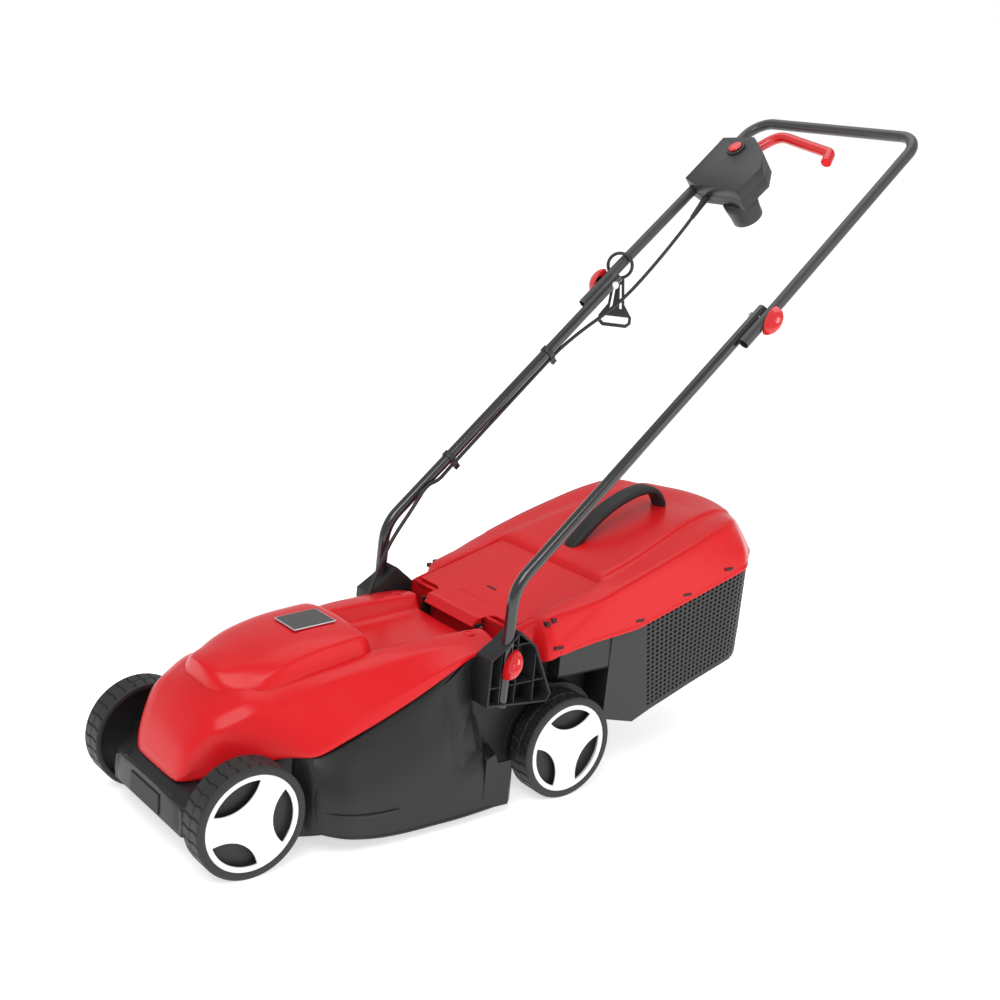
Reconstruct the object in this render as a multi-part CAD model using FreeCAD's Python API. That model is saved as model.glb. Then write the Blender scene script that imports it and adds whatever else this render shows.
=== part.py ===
import FreeCAD, Part
import math
import os
from FreeCAD import Vector

# Corded electric rotary lawn mower with a folding handle and a rear grass box.
# Millimetres. +Z up, front towards -Y, the operator stands at +Y. The origin is on the
# ground under the middle of the whole machine. Lengths along Y are counted from the
# front axle and moved into place by at().

# ---- driving dimensions -------------------------------------------------------------
FRONT_AXLE_Y = -575.5          # the front axle's place along Y
WHEELBASE = 559.0
WHEEL_R = 85.0
WHEEL_WIDTH = 45.0
FRONT_TRACK = 186.5            # outer face of a front wheel, from the mid-plane
REAR_TRACK = 197.6
AXLE_Z = 85.0
AXLE_R = 5.0
RUNNING = 0.05                 # radial clearance of a part that turns on a shaft
COVER_R = 72.6                 # radius of a wheel's cover

BLADE_Y = 172.0                # motor and blade axis
ROOF_Z = 95.0                  # underside of the plate above the blade
WALL = 3.0

TUBE_R = 9.5
TUBE_WALL = 1.5
HANDLE_SLOPE = math.radians(41.28)
LOWER_X = 175.6                # lower tubes, from the mid-plane
UPPER_X = 195.3                # upper tube's legs at the fold
UPPER_TOP_X = 187.2            # the same legs at the crossbar
FOLD = Vector(0, 889.0, 761.3)  # fold axis, its y counted from the front axle
CROSSBAR_S = 449.5             # crossbar, along the slope from the fold axis
STUB = 58.0                    # upper leg's length below the fold axis
LOWER_STUB = 20.0              # lower tube's length above the fold axis
BOLT_R = 4.0
LOWER_KNOB = Vector(0, 431.5, 246.0)
TUBE_FOOT = Vector(0, 429.3, 174.0)      # lower end of a lower tube's middle line
TUBE_BEND = Vector(0, 437.0, 364.5)      # where a lower tube leans back
KNOB_R = 25.0

FLAP_HINGE = Vector(0, 459.5, 262.0)
FLAP_HINGE_R = 3.0
CABLE_R = 3.2

os.makedirs("parts", exist_ok=True)

X = Vector(1, 0, 0)
Y = Vector(0, 1, 0)
Z = Vector(0, 0, 1)
SLOPE = Vector(0, math.cos(HANDLE_SLOPE), math.sin(HANDLE_SLOPE))
NORMAL = Vector(0, -math.sin(HANDLE_SLOPE), math.cos(HANDLE_SLOPE))


# ---- helpers ------------------------------------------------------------------------
def at(x, y, z):
    """A point in the part's frame, with y counted from the front axle."""
    return Vector(x, y + FRONT_AXLE_Y, z)


def on_handle(x, s, h=0.0):
    """A point on the handle: s along its slope from the fold axis, h above its plane."""
    fold = at(0, FOLD.y, FOLD.z)
    return fold + X * x + SLOPE * s + NORMAL * h


def save(node, shape):
    shape.exportStep("parts/" + node + ".step")


def box(x0, x1, y0, y1, z0, z1):
    return Part.makeBox(x1 - x0, y1 - y0, z1 - z0, at(x0, y0, z0))


def rod(radius, start, direction, length):
    return Part.makeCylinder(radius, length, start, direction)


def polygon(points):
    return Part.makePolygon(points + [points[0]])


def prism_x(outline, x0, x1):
    """An outline of (y, z) pairs, thick along X."""
    wire = polygon([at(x0, y, z) for y, z in outline])
    return Part.Face(wire).extrude(X * (x1 - x0))


def prism_z(outline, z0, z1):
    """An outline of (x, y) pairs, thick along Z."""
    wire = polygon([at(x, y, z0) for x, y in outline])
    return Part.Face(wire).extrude(Z * (z1 - z0))


def handle_prism(outline, h0, h1):
    """An outline of (x, s) pairs in the handle's plane, thick along its normal."""
    wire = polygon([on_handle(x, s, h0) for x, s in outline])
    return Part.Face(wire).extrude(NORMAL * (h1 - h0))


def mirrored(shape):
    return shape.mirror(Vector(0, 0, 0), X)


def both_sides(shape):
    return shape.fuse(mirrored(shape))


def ribbed_loft(stations):
    """A solid through half outlines (x, z), each from its lower edge to the middle."""
    wires = []
    for y, half in stations:
        right = [at(x, y, z) for x, z in half]
        left = [at(-x, y, z) for x, z in reversed(half) if x > 0]
        wires.append(polygon(right + left))
    return Part.makeLoft(wires, True, True)


def inset(stations, wall, drop, lift=0.0):
    """The stations moved in by the wall, with the lower edge dropped past the rim."""
    moved = []
    for y, half in stations:
        points = []
        for i, (x, z) in enumerate(half):
            inner_x = max(x - wall, 0.0)
            down = drop if i == 0 else wall - lift
            points.append((inner_x, z - down))
        moved.append((y, points))
    first_y, first = moved[0]
    last_y, last = moved[-1]
    moved[0] = (first_y + wall, first)
    moved[-1] = (last_y - wall, last)
    return moved


def rounded_path(points, radii):
    """Straight runs joined by tangent arcs."""
    edges = []
    start = points[0]
    for i in range(1, len(points) - 1):
        corner = points[i]
        back = (points[i - 1] - corner).normalize()
        ahead = (points[i + 1] - corner).normalize()
        turn = math.pi - back.getAngle(ahead)
        radius = radii[i - 1]
        trim = radius * math.tan(turn / 2)
        entry = corner + back * trim
        leave = corner + ahead * trim
        bisector = (back + ahead).normalize()
        centre = corner + bisector * (radius / math.cos(turn / 2))
        middle = centre - bisector * radius
        edges.append(Part.LineSegment(start, entry).toShape())
        edges.append(Part.Arc(entry, middle, leave).toShape())
        start = leave
    edges.append(Part.LineSegment(start, points[-1]).toShape())
    return Part.Wire(edges)


def swept(path, radius):
    first = path.Edges[0]
    start = first.valueAt(first.FirstParameter)
    direction = first.tangentAt(first.FirstParameter)
    circle = Part.Wire(Part.makeCircle(radius, start, direction))
    return path.makePipeShell([circle], True, False)


def tube(points, radii):
    path = rounded_path(points, radii)
    return swept(path, TUBE_R).cut(swept(path, TUBE_R - TUBE_WALL))


def ring(outer, inner, start, direction, length):
    return rod(outer, start, direction, length).cut(rod(inner, start, direction, length))


# ---- wheels -------------------------------------------------------------------------
def revolved_x(profile, x_face, sign, y, z):
    """A (depth, radius) profile turned about a wheel's axle, depth inwards."""
    points = [Vector(x_face - sign * d, y + FRONT_AXLE_Y, z + r) for d, r in profile]
    centre = at(0, y, z)
    return Part.Face(polygon(points)).revolve(centre, X, 360)


def wheel(sign, face, y):
    bore = AXLE_R + RUNNING
    profile = [(0, COVER_R + 0.4), (0, 83.2), (2.5, WHEEL_R), (WHEEL_WIDTH - 2.5, WHEEL_R),
               (WHEEL_WIDTH, 83.2), (WHEEL_WIDTH, 77), (16, 75), (16, 15), (43, 13),
               (43, bore), (6, bore), (6, 14), (12, 17), (12, COVER_R + 0.4)]
    return revolved_x(profile, sign * face, sign, y, AXLE_Z)


def wheel_cover(sign, face, y, turn):
    """A white disc with a skirt and three lens-shaped windows."""
    profile = [(1, 0), (1, COVER_R), (11.5, COVER_R), (11.5, COVER_R - 2), (3.8, COVER_R - 2),
               (3.8, 0)]
    cover = revolved_x(profile, sign * face, sign, y, AXLE_Z)
    lens_r, lens_offset = 62.0, 88.0
    centre = at(sign * face - 10, y, AXLE_Z)
    inner_disc = rod(COVER_R - 8, centre, X, 20)
    for k in range(3):
        angle = math.radians(turn + 120 * k)
        away = Vector(0, math.cos(angle), math.sin(angle)) * lens_offset
        lens = inner_disc.common(rod(lens_r - 6, centre + away, X, 20))
        cover = cover.cut(lens)
    return cover


WHEELS = [("front_left", 1, FRONT_TRACK, 0.0, 120.0), ("front_right", -1, FRONT_TRACK, 0.0, 60.0),
          ("rear_left", 1, REAR_TRACK, WHEELBASE, 90.0), ("rear_right", -1, REAR_TRACK, WHEELBASE, 90.0)]
for name, sign, face, y, turn in WHEELS:
    save("wheel_" + name, wheel(sign, face, y))
    save("wheel_cover_" + name, wheel_cover(sign, face, y, turn))

AXLE_INSET = 4.6               # an axle ends this far inside its wheel's outer face
for name, face, y in (("front_axle", FRONT_TRACK, 0.0), ("rear_axle", REAR_TRACK, WHEELBASE)):
    half = face - AXLE_INSET
    save(name, rod(AXLE_R, at(-half, y, AXLE_Z), X, 2 * half))

retainers = []
for name, sign, face, y, turn in WHEELS:
    start = at(sign * (face - AXLE_INSET - 1.1), y, AXLE_Z)
    retainers.append(ring(9.0, AXLE_R + 0.01, start, X * sign, 1.1))
save("axle_push_nuts", Part.makeCompound(retainers))

# ---- deck: outer skin, blade roof, blade ring, discharge tunnel, rear arms ----------
DECK = [
    (-69.0, [(108, 46), (110, 62), (106, 84), (74, 96), (0, 97)]),
    (-48.0, [(131, 44), (133, 66), (131, 92), (82, 105), (0, 106)]),
    (0.0, [(136, 44), (137, 66), (136, 112), (116, 124), (0, 125)]),
    (88.0, [(137, 42), (138, 66), (138, 124), (136, 148), (0, 149)]),
    (104.0, [(172, 40), (174, 60), (168, 118), (150, 148.5), (0, 149)]),
    (140.0, [(197, 32), (198, 60), (186, 122), (160, 149), (0, 150)]),
    (190.0, [(200, 22), (200, 60), (190, 122), (160, 164), (0, 165)]),
    (250.0, [(200, 17), (200, 60), (191, 120), (160, 184), (0, 185)]),
    (306.0, [(200, 16.5), (200, 60), (190, 128), (160, 204), (0, 205)]),
    (350.0, [(200, 16.5), (200, 60), (187, 150), (158, 231), (0, 232)]),
    (385.0, [(199, 17), (197, 60), (162, 172), (149, 250), (0, 251)]),
    (392.0, [(198, 17.5), (195, 60), (149, 165), (149, 252), (0, 253)]),
    (407.0, [(197, 18), (192, 60), (149, 150), (149, 254), (0, 255)]),
]
TUNNEL_X = 105.0
MOUTH = (108.0, 225.0)         # bottom and top of the discharge mouth
REAR_WALL_Y = 452.0
SIDE_X = 149.0                 # outer face of the deck's rear side walls
SCREW_PADS = [(98.5, 417.0), (-98.5, 417.0)]
MOTOR_SCREWS = [(58 * math.cos(a), 58 * math.sin(a)) for a in (math.radians(45 + 90 * k) for k in range(4))]
BRACKET_SCREWS = [(408.0, 215.0), (473.0, 215.0)]


def open_topped(stations, wall):
    """The stations moved in by the wall at the sides and run past both rims."""
    moved = []
    for y, half in stations:
        edge_x, edge_z = half[0]
        top_x, top_z = half[-2]
        sides = [(x - wall, z) for x, z in half[1:-1]]
        top = [(top_x - wall, top_z + 60), (0, top_z + 60)]
        moved.append((y, [(edge_x - wall, edge_z - 20)] + sides + top))
    moved[0] = (stations[0][0] + wall, moved[0][1])
    return moved


def deck():
    outer = ribbed_loft(DECK)
    skin = outer.cut(ribbed_loft(open_topped(DECK, WALL)))
    trailing = prism_z([(199, 395), (201, 440), (190, 452), (187, 450), (196, 438), (194, 395)], 18, 92)
    skin = skin.fuse(both_sides(trailing))
    roof = outer.common(box(-210, 210, -60, 395, ROOF_Z, ROOF_Z + WALL))
    roof = roof.cut(rod(17, at(0, BLADE_Y, 80), Z, 40))
    blade_ring = ring(163, 160, at(0, BLADE_Y, 22), Z, ROOF_Z - 22)
    inside = ribbed_loft(inset(DECK, 1.0, 20))
    blade_ring = blade_ring.common(inside)
    body = skin.fuse([roof, blade_ring])
    tunnel_out = prism_x([(250, 60), (250, 98), (400, 228), (452, 228), (452, 105), (340, 60)],
                         -TUNNEL_X - WALL, TUNNEL_X + WALL)
    tunnel_in = prism_x([(230, 40), (230, ROOF_Z), (254, ROOF_Z), (402, 225), (470, 225), (470, MOUTH[0]),
                         (338, 63), (338, 40)], -TUNNEL_X, TUNNEL_X)
    wall = box(-SIDE_X, SIDE_X, REAR_WALL_Y - WALL, REAR_WALL_Y, 60, 232)
    sides = box(SIDE_X - WALL, SIDE_X, 400, 470, 60, 254)
    arm = prism_x([(400, 60), (400, 254), (470, 254), (528, 186), (560, 178), (560, 60)],
                  SIDE_X - WALL, SIDE_X)
    disc = rod(93, at(SIDE_X - WALL, WHEELBASE, AXLE_Z), X, WALL)
    disc = disc.common(box(SIDE_X - WALL, SIDE_X, 440, 700, 56, 200))
    hood = ring(93, 90, at(120, WHEELBASE, AXLE_Z), X, SIDE_X - 120)
    hood = hood.common(box(100, 160, 440, 700, AXLE_Z, 200))
    body = body.fuse([tunnel_out, wall, both_sides(sides.fuse([arm, disc, hood]))])
    body = body.cut(tunnel_in)
    body = body.cut(rod(AXLE_R + 0.2, at(-210, 0, AXLE_Z), X, 420))
    body = body.cut(rod(AXLE_R + 0.2, at(-210, WHEELBASE, AXLE_Z), X, 420))
    body = body.cut(rod(BOLT_R + 0.1, at(-160, LOWER_KNOB.y, LOWER_KNOB.z), X, 320))
    for x, y in MOTOR_SCREWS:
        body = body.cut(rod(2.6, at(x, BLADE_Y + y, 80), Z, 40))
    for x, y in SCREW_PADS:
        body = body.fuse(rod(7.0, at(x, y, 226), Z, 32)).cut(rod(3.05, at(x, y, 235), Z, 40))
    for y, z in BRACKET_SCREWS:
        body = body.cut(rod(2.3, at(-160, y, z), X, 320))
    lug = box(69.5, 74.5, REAR_WALL_Y - WALL, FLAP_HINGE.y + 6, 225.5, FLAP_HINGE.z + 6)
    lug = lug.fuse(box(67.5, 76.5, 436, REAR_WALL_Y, 225.5, 234))
    body = body.fuse(both_sides(lug))
    body = body.cut(rod(FLAP_HINGE_R + 0.02, at(-80, FLAP_HINGE.y, FLAP_HINGE.z), X, 160))
    return body.removeSplitter()


save("deck", deck())

# ---- handle brackets ----------------------------------------------------------------
BRACKET_SIDE = [(393.5, 181), (395, 257), (424, 275), (449, 295), (481, 268), (520, 182), (512, 170)]
BRACKET_X = (149.4, 187.0)


def bracket():
    x0, x1 = BRACKET_X
    body = prism_x(BRACKET_SIDE, x0, x1)
    pocket = prism_x([(397, 184), (398.5, 255), (424, 271), (448.5, 291), (478, 266), (516, 183),
                      (510, 173)], x0 + WALL, x1 + 1)
    ribs = [box(x0, x1 - 4, 396, 515, z, z + 2) for z in (208, 272)]
    ribs += [box(x0, x1 - 2, y, y + 2, 172, 290) for y in (416.5, 445.5, 482)]
    lattice = ribs[0].fuse(ribs[1:]).common(prism_x(BRACKET_SIDE, x0, x1))
    body = body.cut(pocket).fuse(lattice)
    foot = at(LOWER_X, TUBE_FOOT.y, TUBE_FOOT.z)
    bend = at(LOWER_X, TUBE_BEND.y, TUBE_BEND.z)
    way = (bend - foot).normalize()
    body = body.cut(rod(TUBE_R + 0.3, foot - way * 10, way, 150))
    body = body.cut(rod(BOLT_R + 0.1, at(140, LOWER_KNOB.y, LOWER_KNOB.z), X, 60))
    for y, z in BRACKET_SCREWS:
        body = body.cut(rod(2.3, at(140, y, z), X, 60))
    return body


bracket_left = bracket()
save("handle_bracket_left", bracket_left)
save("handle_bracket_right", mirrored(bracket_left))

screws = []
for y, z in BRACKET_SCREWS:
    shank = rod(2.1, at(142, y, z), X, 14)
    head = rod(4.5, at(BRACKET_X[0] + WALL + 0.1, y, z), X, 3)
    screws.append(shank.fuse(head))
save("bracket_screws", Part.makeCompound(screws + [mirrored(s) for s in screws]))

# ---- motor cover --------------------------------------------------------------------
COVER = [
    (-57.0, [(58, 107), (60, 112), (40, 118), (0, 120)]),
    (-36.0, [(76, 111), (82, 164), (50, 188), (0, 196)]),
    (-10.0, [(98, 121), (98, 200), (60, 226), (0, 236)]),
    (20.0, [(124, 133), (110, 212), (70, 238), (0, 246)]),
    (60.0, [(138.5, 148), (114, 220), (80, 240), (0, 250)]),
    (86.0, [(140, 150), (116, 224), (80, 244), (0, 252)]),
    (104.0, [(152, 150), (117, 227), (80, 247), (0, 254)]),
    (140.0, [(160, 151), (118, 236), (80, 252), (0, 258)]),
    (190.0, [(160, 166), (119, 248), (80, 258), (0, 262)]),
    (250.0, [(160, 186), (120, 258), (88, 264), (0, 266)]),
    (306.0, [(160, 206), (121, 266), (88, 269), (0, 270)]),
    (350.0, [(158, 234), (122, 267), (88, 270), (0, 271)]),
    (385.0, [(149, 253), (122, 267), (88, 270), (0, 271)]),
    (446.0, [(147, 257), (122, 268), (88, 270), (0, 271)]),
]
BULGE = [
    (4.0, [(40, 222), (34, 240), (26, 250), (14, 255), (0, 257)]),
    (14.0, [(56, 222), (48, 239), (38, 252), (20, 258), (0, 260)]),
    (34.0, [(76, 224), (62, 241), (48, 256), (26, 263), (0, 266)]),
    (60.0, [(90, 226), (81, 245), (62, 262), (34, 269), (0, 271)]),
    (87.0, [(93, 230), (86, 258), (66, 270), (36, 276), (0, 278)]),
    (120.0, [(94, 234), (86, 269), (66, 279), (36, 283), (0, 284.5)]),
    (154.0, [(94, 238), (84.5, 277.5), (66, 285), (36, 288.5), (0, 290)]),
    (200.0, [(94, 240), (82.5, 283.5), (64, 289), (36, 291.5), (0, 292.5)]),
    (240.0, [(92, 244), (78, 286), (60, 290), (34, 292), (0, 293)]),
    (250.0, [(88, 244), (74, 270), (58, 273), (32, 275), (0, 276)]),
    (262.0, [(84, 246), (72, 250), (56, 252), (32, 253), (0, 254)]),
]
RECESS_SIDE = [(256, 238), (440, 243), (470, 244), (470, 340), (256, 340)]


def motor_cover():
    outer = ribbed_loft(COVER).fuse(ribbed_loft(BULGE))
    inner = ribbed_loft(inset(COVER, WALL, 12)).fuse(ribbed_loft(inset(BULGE, WALL, 12)))
    recess = prism_x(RECESS_SIDE, -85, 85)
    tray = prism_x([(y - (WALL if y < 300 else 0), z - WALL) for y, z in RECESS_SIDE],
                   -85 - WALL, 85 + WALL)
    bulge_zone = ribbed_loft(BULGE)
    body = outer.cut(recess.cut(bulge_zone)).cut(inner.cut(tray.cut(ribbed_loft(inset(BULGE, WALL, 12)))))
    for x, y in SCREW_PADS:
        body = body.fuse(rod(10.0, at(x, y, 258.2), Z, 10))
        body = body.cut(rod(6.4, at(x, y, 262), Z, 20)).cut(rod(3.1, at(x, y, 240), Z, 40))
    way = at(-132, 372, 226) - at(-143, 391, 262)
    body = body.cut(rod(CABLE_R + 1.0, at(-143, 391, 262) - way * 0.5, way, 2 * way.Length))
    return sorted(body.Solids, key=lambda s: -s.Volume)[0]


save("motor_cover", motor_cover())

screws = [rod(3.0, at(x, y, 240), Z, 22.1).fuse(rod(6.0, at(x, y, 262.1), Z, 3)) for x, y in SCREW_PADS]
save("cover_screws", Part.makeCompound(screws))

save("cover_plate", prism_x([(146, 290), (216.5, 294.5), (216.5, 296.5), (146, 292)], -27, 27))

# ---- motor and blade ----------------------------------------------------------------
def on_blade_axis(z):
    return at(0, BLADE_Y, z)


can = ring(52, 49, on_blade_axis(98.3), Z, 130)
flange = ring(66, 16, on_blade_axis(98.3), Z, 4)
cap = ring(52, 16, on_blade_axis(224), Z, 4)
can = can.fuse([flange, cap])
for x, y in MOTOR_SCREWS:
    can = can.cut(rod(2.6, at(x, BLADE_Y + y, 90), Z, 30))
save("motor_can", can)
save("motor_stator", ring(48.7, 34, on_blade_axis(125), Z, 68))
bearings = [ring(15.6, 6.0 + RUNNING, on_blade_axis(z), Z, 8) for z in (98.5, 220.0)]
save("motor_bearings", Part.makeCompound(bearings))
brushes = [box(x0, x1, BLADE_Y - 4, BLADE_Y + 4, 204, 212) for x0, x1 in ((-30, -14.4), (14.4, 30))]
save("motor_brushes", Part.makeCompound(brushes))
motor_screws = []
for x, y in MOTOR_SCREWS:
    head = rod(4.5, at(x, BLADE_Y + y, 91.8), Z, 3)
    motor_screws.append(head.fuse(rod(2.4, at(x, BLADE_Y + y, 94.5), Z, 9)))
save("motor_screws", Part.makeCompound(motor_screws))

shaft = rod(6.0, on_blade_axis(50), Z, 184)
shaft = shaft.fuse([rod(33, on_blade_axis(126), Z, 66), rod(14, on_blade_axis(200), Z, 16)])
shaft = shaft.cut(rod(4.1, on_blade_axis(49), Z, 24))
save("motor_shaft", shaft)

carrier = ring(62, 6.05, on_blade_axis(70), Z, 4).fuse(ring(14, 6.05, on_blade_axis(49.3), Z, 22))
vane = box(16, 60, BLADE_Y - 1.2, BLADE_Y + 1.2, 73.5, 88)
vanes = []
for k in range(8):
    turned = vane.copy()
    turned.rotate(on_blade_axis(0), Z, 45 * k)
    vanes.append(turned)
save("blade_carrier", carrier.fuse(vanes))

blade_half = [(0, 46.5), (105, 46.5), (118, 52), (150, 54), (150, 56.5), (117, 54.5), (104, 49), (0, 49)]
wire = polygon([at(x, BLADE_Y - 24, z) for x, z in blade_half])
half_blade = Part.Face(wire).extrude(Y * 48)
other = half_blade.copy()
other.rotate(on_blade_axis(0), Z, 180)
blade = half_blade.fuse(other).cut(rod(4.2, on_blade_axis(40), Z, 20))
save("blade", blade.removeSplitter())
save("blade_washer", ring(15, 4.2, on_blade_axis(43), Z, 3.4))
bolt_head = Part.Face(polygon([on_blade_axis(36) + Vector(8.5 * math.cos(a), 8.5 * math.sin(a), 0)
                               for a in (math.radians(60 * k) for k in range(6))])).extrude(Z * 6.9)
save("blade_bolt", bolt_head.fuse(rod(BOLT_R, on_blade_axis(40), Z, 30)))

# ---- lower handle tubes, bolts and wing knobs ---------------------------------------
def lower_tube(sign):
    side = X * (sign * LOWER_X)
    foot = at(0, TUBE_FOOT.y, TUBE_FOOT.z) + side
    points = [foot, at(0, TUBE_BEND.y, TUBE_BEND.z) + side, on_handle(sign * LOWER_X, LOWER_STUB)]
    body = tube(points, [70.0])
    body = body.cut(rod(BOLT_R + 0.1, at(-220, LOWER_KNOB.y, LOWER_KNOB.z), X, 440))
    return body.cut(rod(BOLT_R + RUNNING, on_handle(-220, 0), X, 440))


save("lower_tube_left", lower_tube(1))
save("lower_tube_right", lower_tube(-1))


def through_bolt(sign, place, head_x, end_x):
    """A mushroom-headed bolt, its head towards the mid-plane."""
    head = rod(6.5, place + X * (sign * head_x), X * sign, 3.6)
    head = head.fuse(rod(4.5, place + X * (sign * (head_x - 1.2)), X * sign, 1.4))
    return head.fuse(rod(BOLT_R, place + X * (sign * head_x), X * sign, end_x - head_x))


upper_place = on_handle(0, 0)
lower_place = at(0, LOWER_KNOB.y, LOWER_KNOB.z)
save("upper_bolts", Part.makeCompound([through_bolt(s, upper_place, 162.2, 219) for s in (1, -1)]))
save("lower_bolts", Part.makeCompound([through_bolt(s, lower_place, 142.0, 202) for s in (1, -1)]))

UPPER_KNOB_X = UPPER_X + TUBE_R + 0.5
LOWER_KNOB_X = LOWER_X + TUBE_R + 2.4


def wing_knob(sign, place, face_x, direction):
    """A half-disc grip with a round boss, flat against the tube."""
    across = X.cross(direction)
    start = place + X * (sign * face_x)
    disc = rod(KNOB_R, start - across * 6.5, across, 13)
    half = Part.makeBox(4 * KNOB_R, 4 * KNOB_R, 4 * KNOB_R)
    half.translate(Vector(-2 * KNOB_R, -2 * KNOB_R, 0))
    half.Placement = FreeCAD.Placement(start, FreeCAD.Rotation(Z, X * sign)).multiply(half.Placement)
    knob = disc.common(half)
    knob = knob.fuse(rod(10.0, start, X * sign, 16))
    return knob.cut(rod(BOLT_R + RUNNING, start - X * sign, X * sign, 17))


for side, sign in (("left", 1), ("right", -1)):
    save("upper_wing_knob_" + side, wing_knob(sign, upper_place, UPPER_KNOB_X, SLOPE))
    save("lower_wing_knob_" + side, wing_knob(sign, lower_place, LOWER_KNOB_X, SLOPE))

# ---- upper handle tube --------------------------------------------------------------
CORNER_R = 42.0
upper_points = [on_handle(UPPER_X, -STUB), on_handle(UPPER_X, 34), on_handle(UPPER_TOP_X, CROSSBAR_S),
                on_handle(-UPPER_TOP_X, CROSSBAR_S), on_handle(-UPPER_X, 34), on_handle(-UPPER_X, -STUB)]
upper = tube(upper_points, [400.0, CORNER_R, CORNER_R, 400.0])
upper = upper.cut(rod(BOLT_R + RUNNING, on_handle(-220, 0), X, 440))
save("upper_tube", upper)

# ---- switch box ---------------------------------------------------------------------
BOX_OUTLINE = [(-204, 377), (-134, 387), (-82, 350), (-58, 312), (-62, 246), (-95, 252), (-172, 250),
               (-204, 262)]
BOX_CAVITY = [(-172, 368), (-136, 374), (-90, 342), (-68, 308), (-68, 262), (-172, 262)]
LEG_TOP = on_handle(-UPPER_TOP_X, CROSSBAR_S)
LEG_FOOT = on_handle(-UPPER_X, 34)
leg_way = (LEG_TOP - LEG_FOOT).normalize()
leg_core = rod(TUBE_R + 0.05, LEG_FOOT, leg_way, (LEG_TOP - LEG_FOOT).Length)
LEVER_PIVOT = (-146.0, 360.0)
BUTTON = (-151.0, 352.0)
lever_slot = handle_prism([(-166, 343), (-128, 343), (-70, 400), (-170, 420)], -11, 11)
button_well = rod(9.0, on_handle(*BUTTON, 13.6), NORMAL, 20)
button_cup = rod(15.0, on_handle(*BUTTON, 11.2), NORMAL, 9)
INLET = (-98.0, 272.0)
RELIEF_START = on_handle(-155, 248.8, -8)
RELIEF_WAY = (X * 0.04 - SLOPE - NORMAL * 0.12).normalize()


def shell(h0, h1, cavity_h0, cavity_h1):
    body = handle_prism(BOX_OUTLINE, h0, h1)
    body = body.cut(handle_prism(BOX_CAVITY, cavity_h0, cavity_h1))
    body = body.cut(leg_core).cut(lever_slot)
    return body


lever_pin = rod(4.05, on_handle(*LEVER_PIVOT, -19), NORMAL, 31.5)
top_shell = shell(0.1, 22, -1, 19.5).fuse(button_cup).cut(button_well)
top_shell = top_shell.cut(rod(4.3, on_handle(*BUTTON, 10), NORMAL, 10)).cut(lever_pin)
save("switch_box_top", top_shell)
bottom_shell = shell(-22, -0.1, -19.5, 1).fuse(rod(8.0, on_handle(*LEVER_PIVOT, -20), NORMAL, 6.3))
bottom_shell = bottom_shell.cut(rod(CABLE_R + 0.3, RELIEF_START, RELIEF_WAY * -1, 20))
bottom_shell = bottom_shell.cut(rod(27.0, on_handle(*INLET, -30), NORMAL, 11.5))
bottom_shell = bottom_shell.cut(lever_pin)
save("switch_box_bottom", bottom_shell)
save("lever_pivot_pin", rod(4.0, on_handle(*LEVER_PIVOT, -18.9), NORMAL, 31.3))

button = rod(8.7, on_handle(*BUTTON, 19), NORMAL, 5.0).fuse(rod(4.0, on_handle(*BUTTON, 13.8), NORMAL, 6))
save("safety_button", button)
save("button_spring", ring(7.2, 5.6, on_handle(*BUTTON, 13.8), NORMAL, 5.0))
module = handle_prism([(-118, 270), (-74, 270), (-74, 306), (-118, 306)], -17, 8)
save("switch_module", module)

lever_points = [on_handle(*LEVER_PIVOT), on_handle(-107, 420), on_handle(28, 391), on_handle(43, 362)]
lever = swept(rounded_path(lever_points, [24.0, 12.0]), 8.0).fuse(rod(11.0, on_handle(*LEVER_PIVOT, -8), NORMAL, 16))
lever = lever.cut(rod(4.0 + RUNNING, on_handle(*LEVER_PIVOT, -12), NORMAL, 24))
save("switch_lever", lever)
save("lever_spring", ring(9.0, 5.0, on_handle(*LEVER_PIVOT, -13.5), NORMAL, 4.0))

shroud = rod(26.9, on_handle(*INLET, -64), NORMAL, 44).cut(rod(24.0, on_handle(*INLET, -65), NORMAL, 42))
PINS = [(INLET[0] - 8.0, INLET[1]), (INLET[0] + 8.0, INLET[1])]
pins = []
for x, s in PINS:
    shroud = shroud.cut(rod(3.41, on_handle(x, s, -60), NORMAL, 60))
    prong = rod(2.4, on_handle(x, s, -42), NORMAL, 19)
    pins.append(prong.fuse(rod(3.4, on_handle(x, s, -23), NORMAL, 5)))
save("inlet_shroud", shroud)
save("inlet_pins", Part.makeCompound(pins))

relief = Part.makeCone(6.5, 4.2, 48.0, RELIEF_START, RELIEF_WAY)
save("cable_relief", relief.cut(rod(CABLE_R + 0.02, RELIEF_START - RELIEF_WAY, RELIEF_WAY, 50.0)))

# ---- cable along the right-hand leg -------------------------------------------------
def arc_radii(points, largest=400.0):
    """The largest tangent arc that the two runs beside each inner point allow."""
    radii = []
    for i in range(1, len(points) - 1):
        back = points[i - 1] - points[i]
        ahead = points[i + 1] - points[i]
        turn = math.pi - back.getAngle(ahead)
        shorter = min(back.Length, ahead.Length)
        radii.append(min(largest, 0.45 * shorter / math.tan(turn / 2)))
    return radii


def cable(points):
    return swept(rounded_path(points, arc_radii(points)), CABLE_R)


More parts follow.
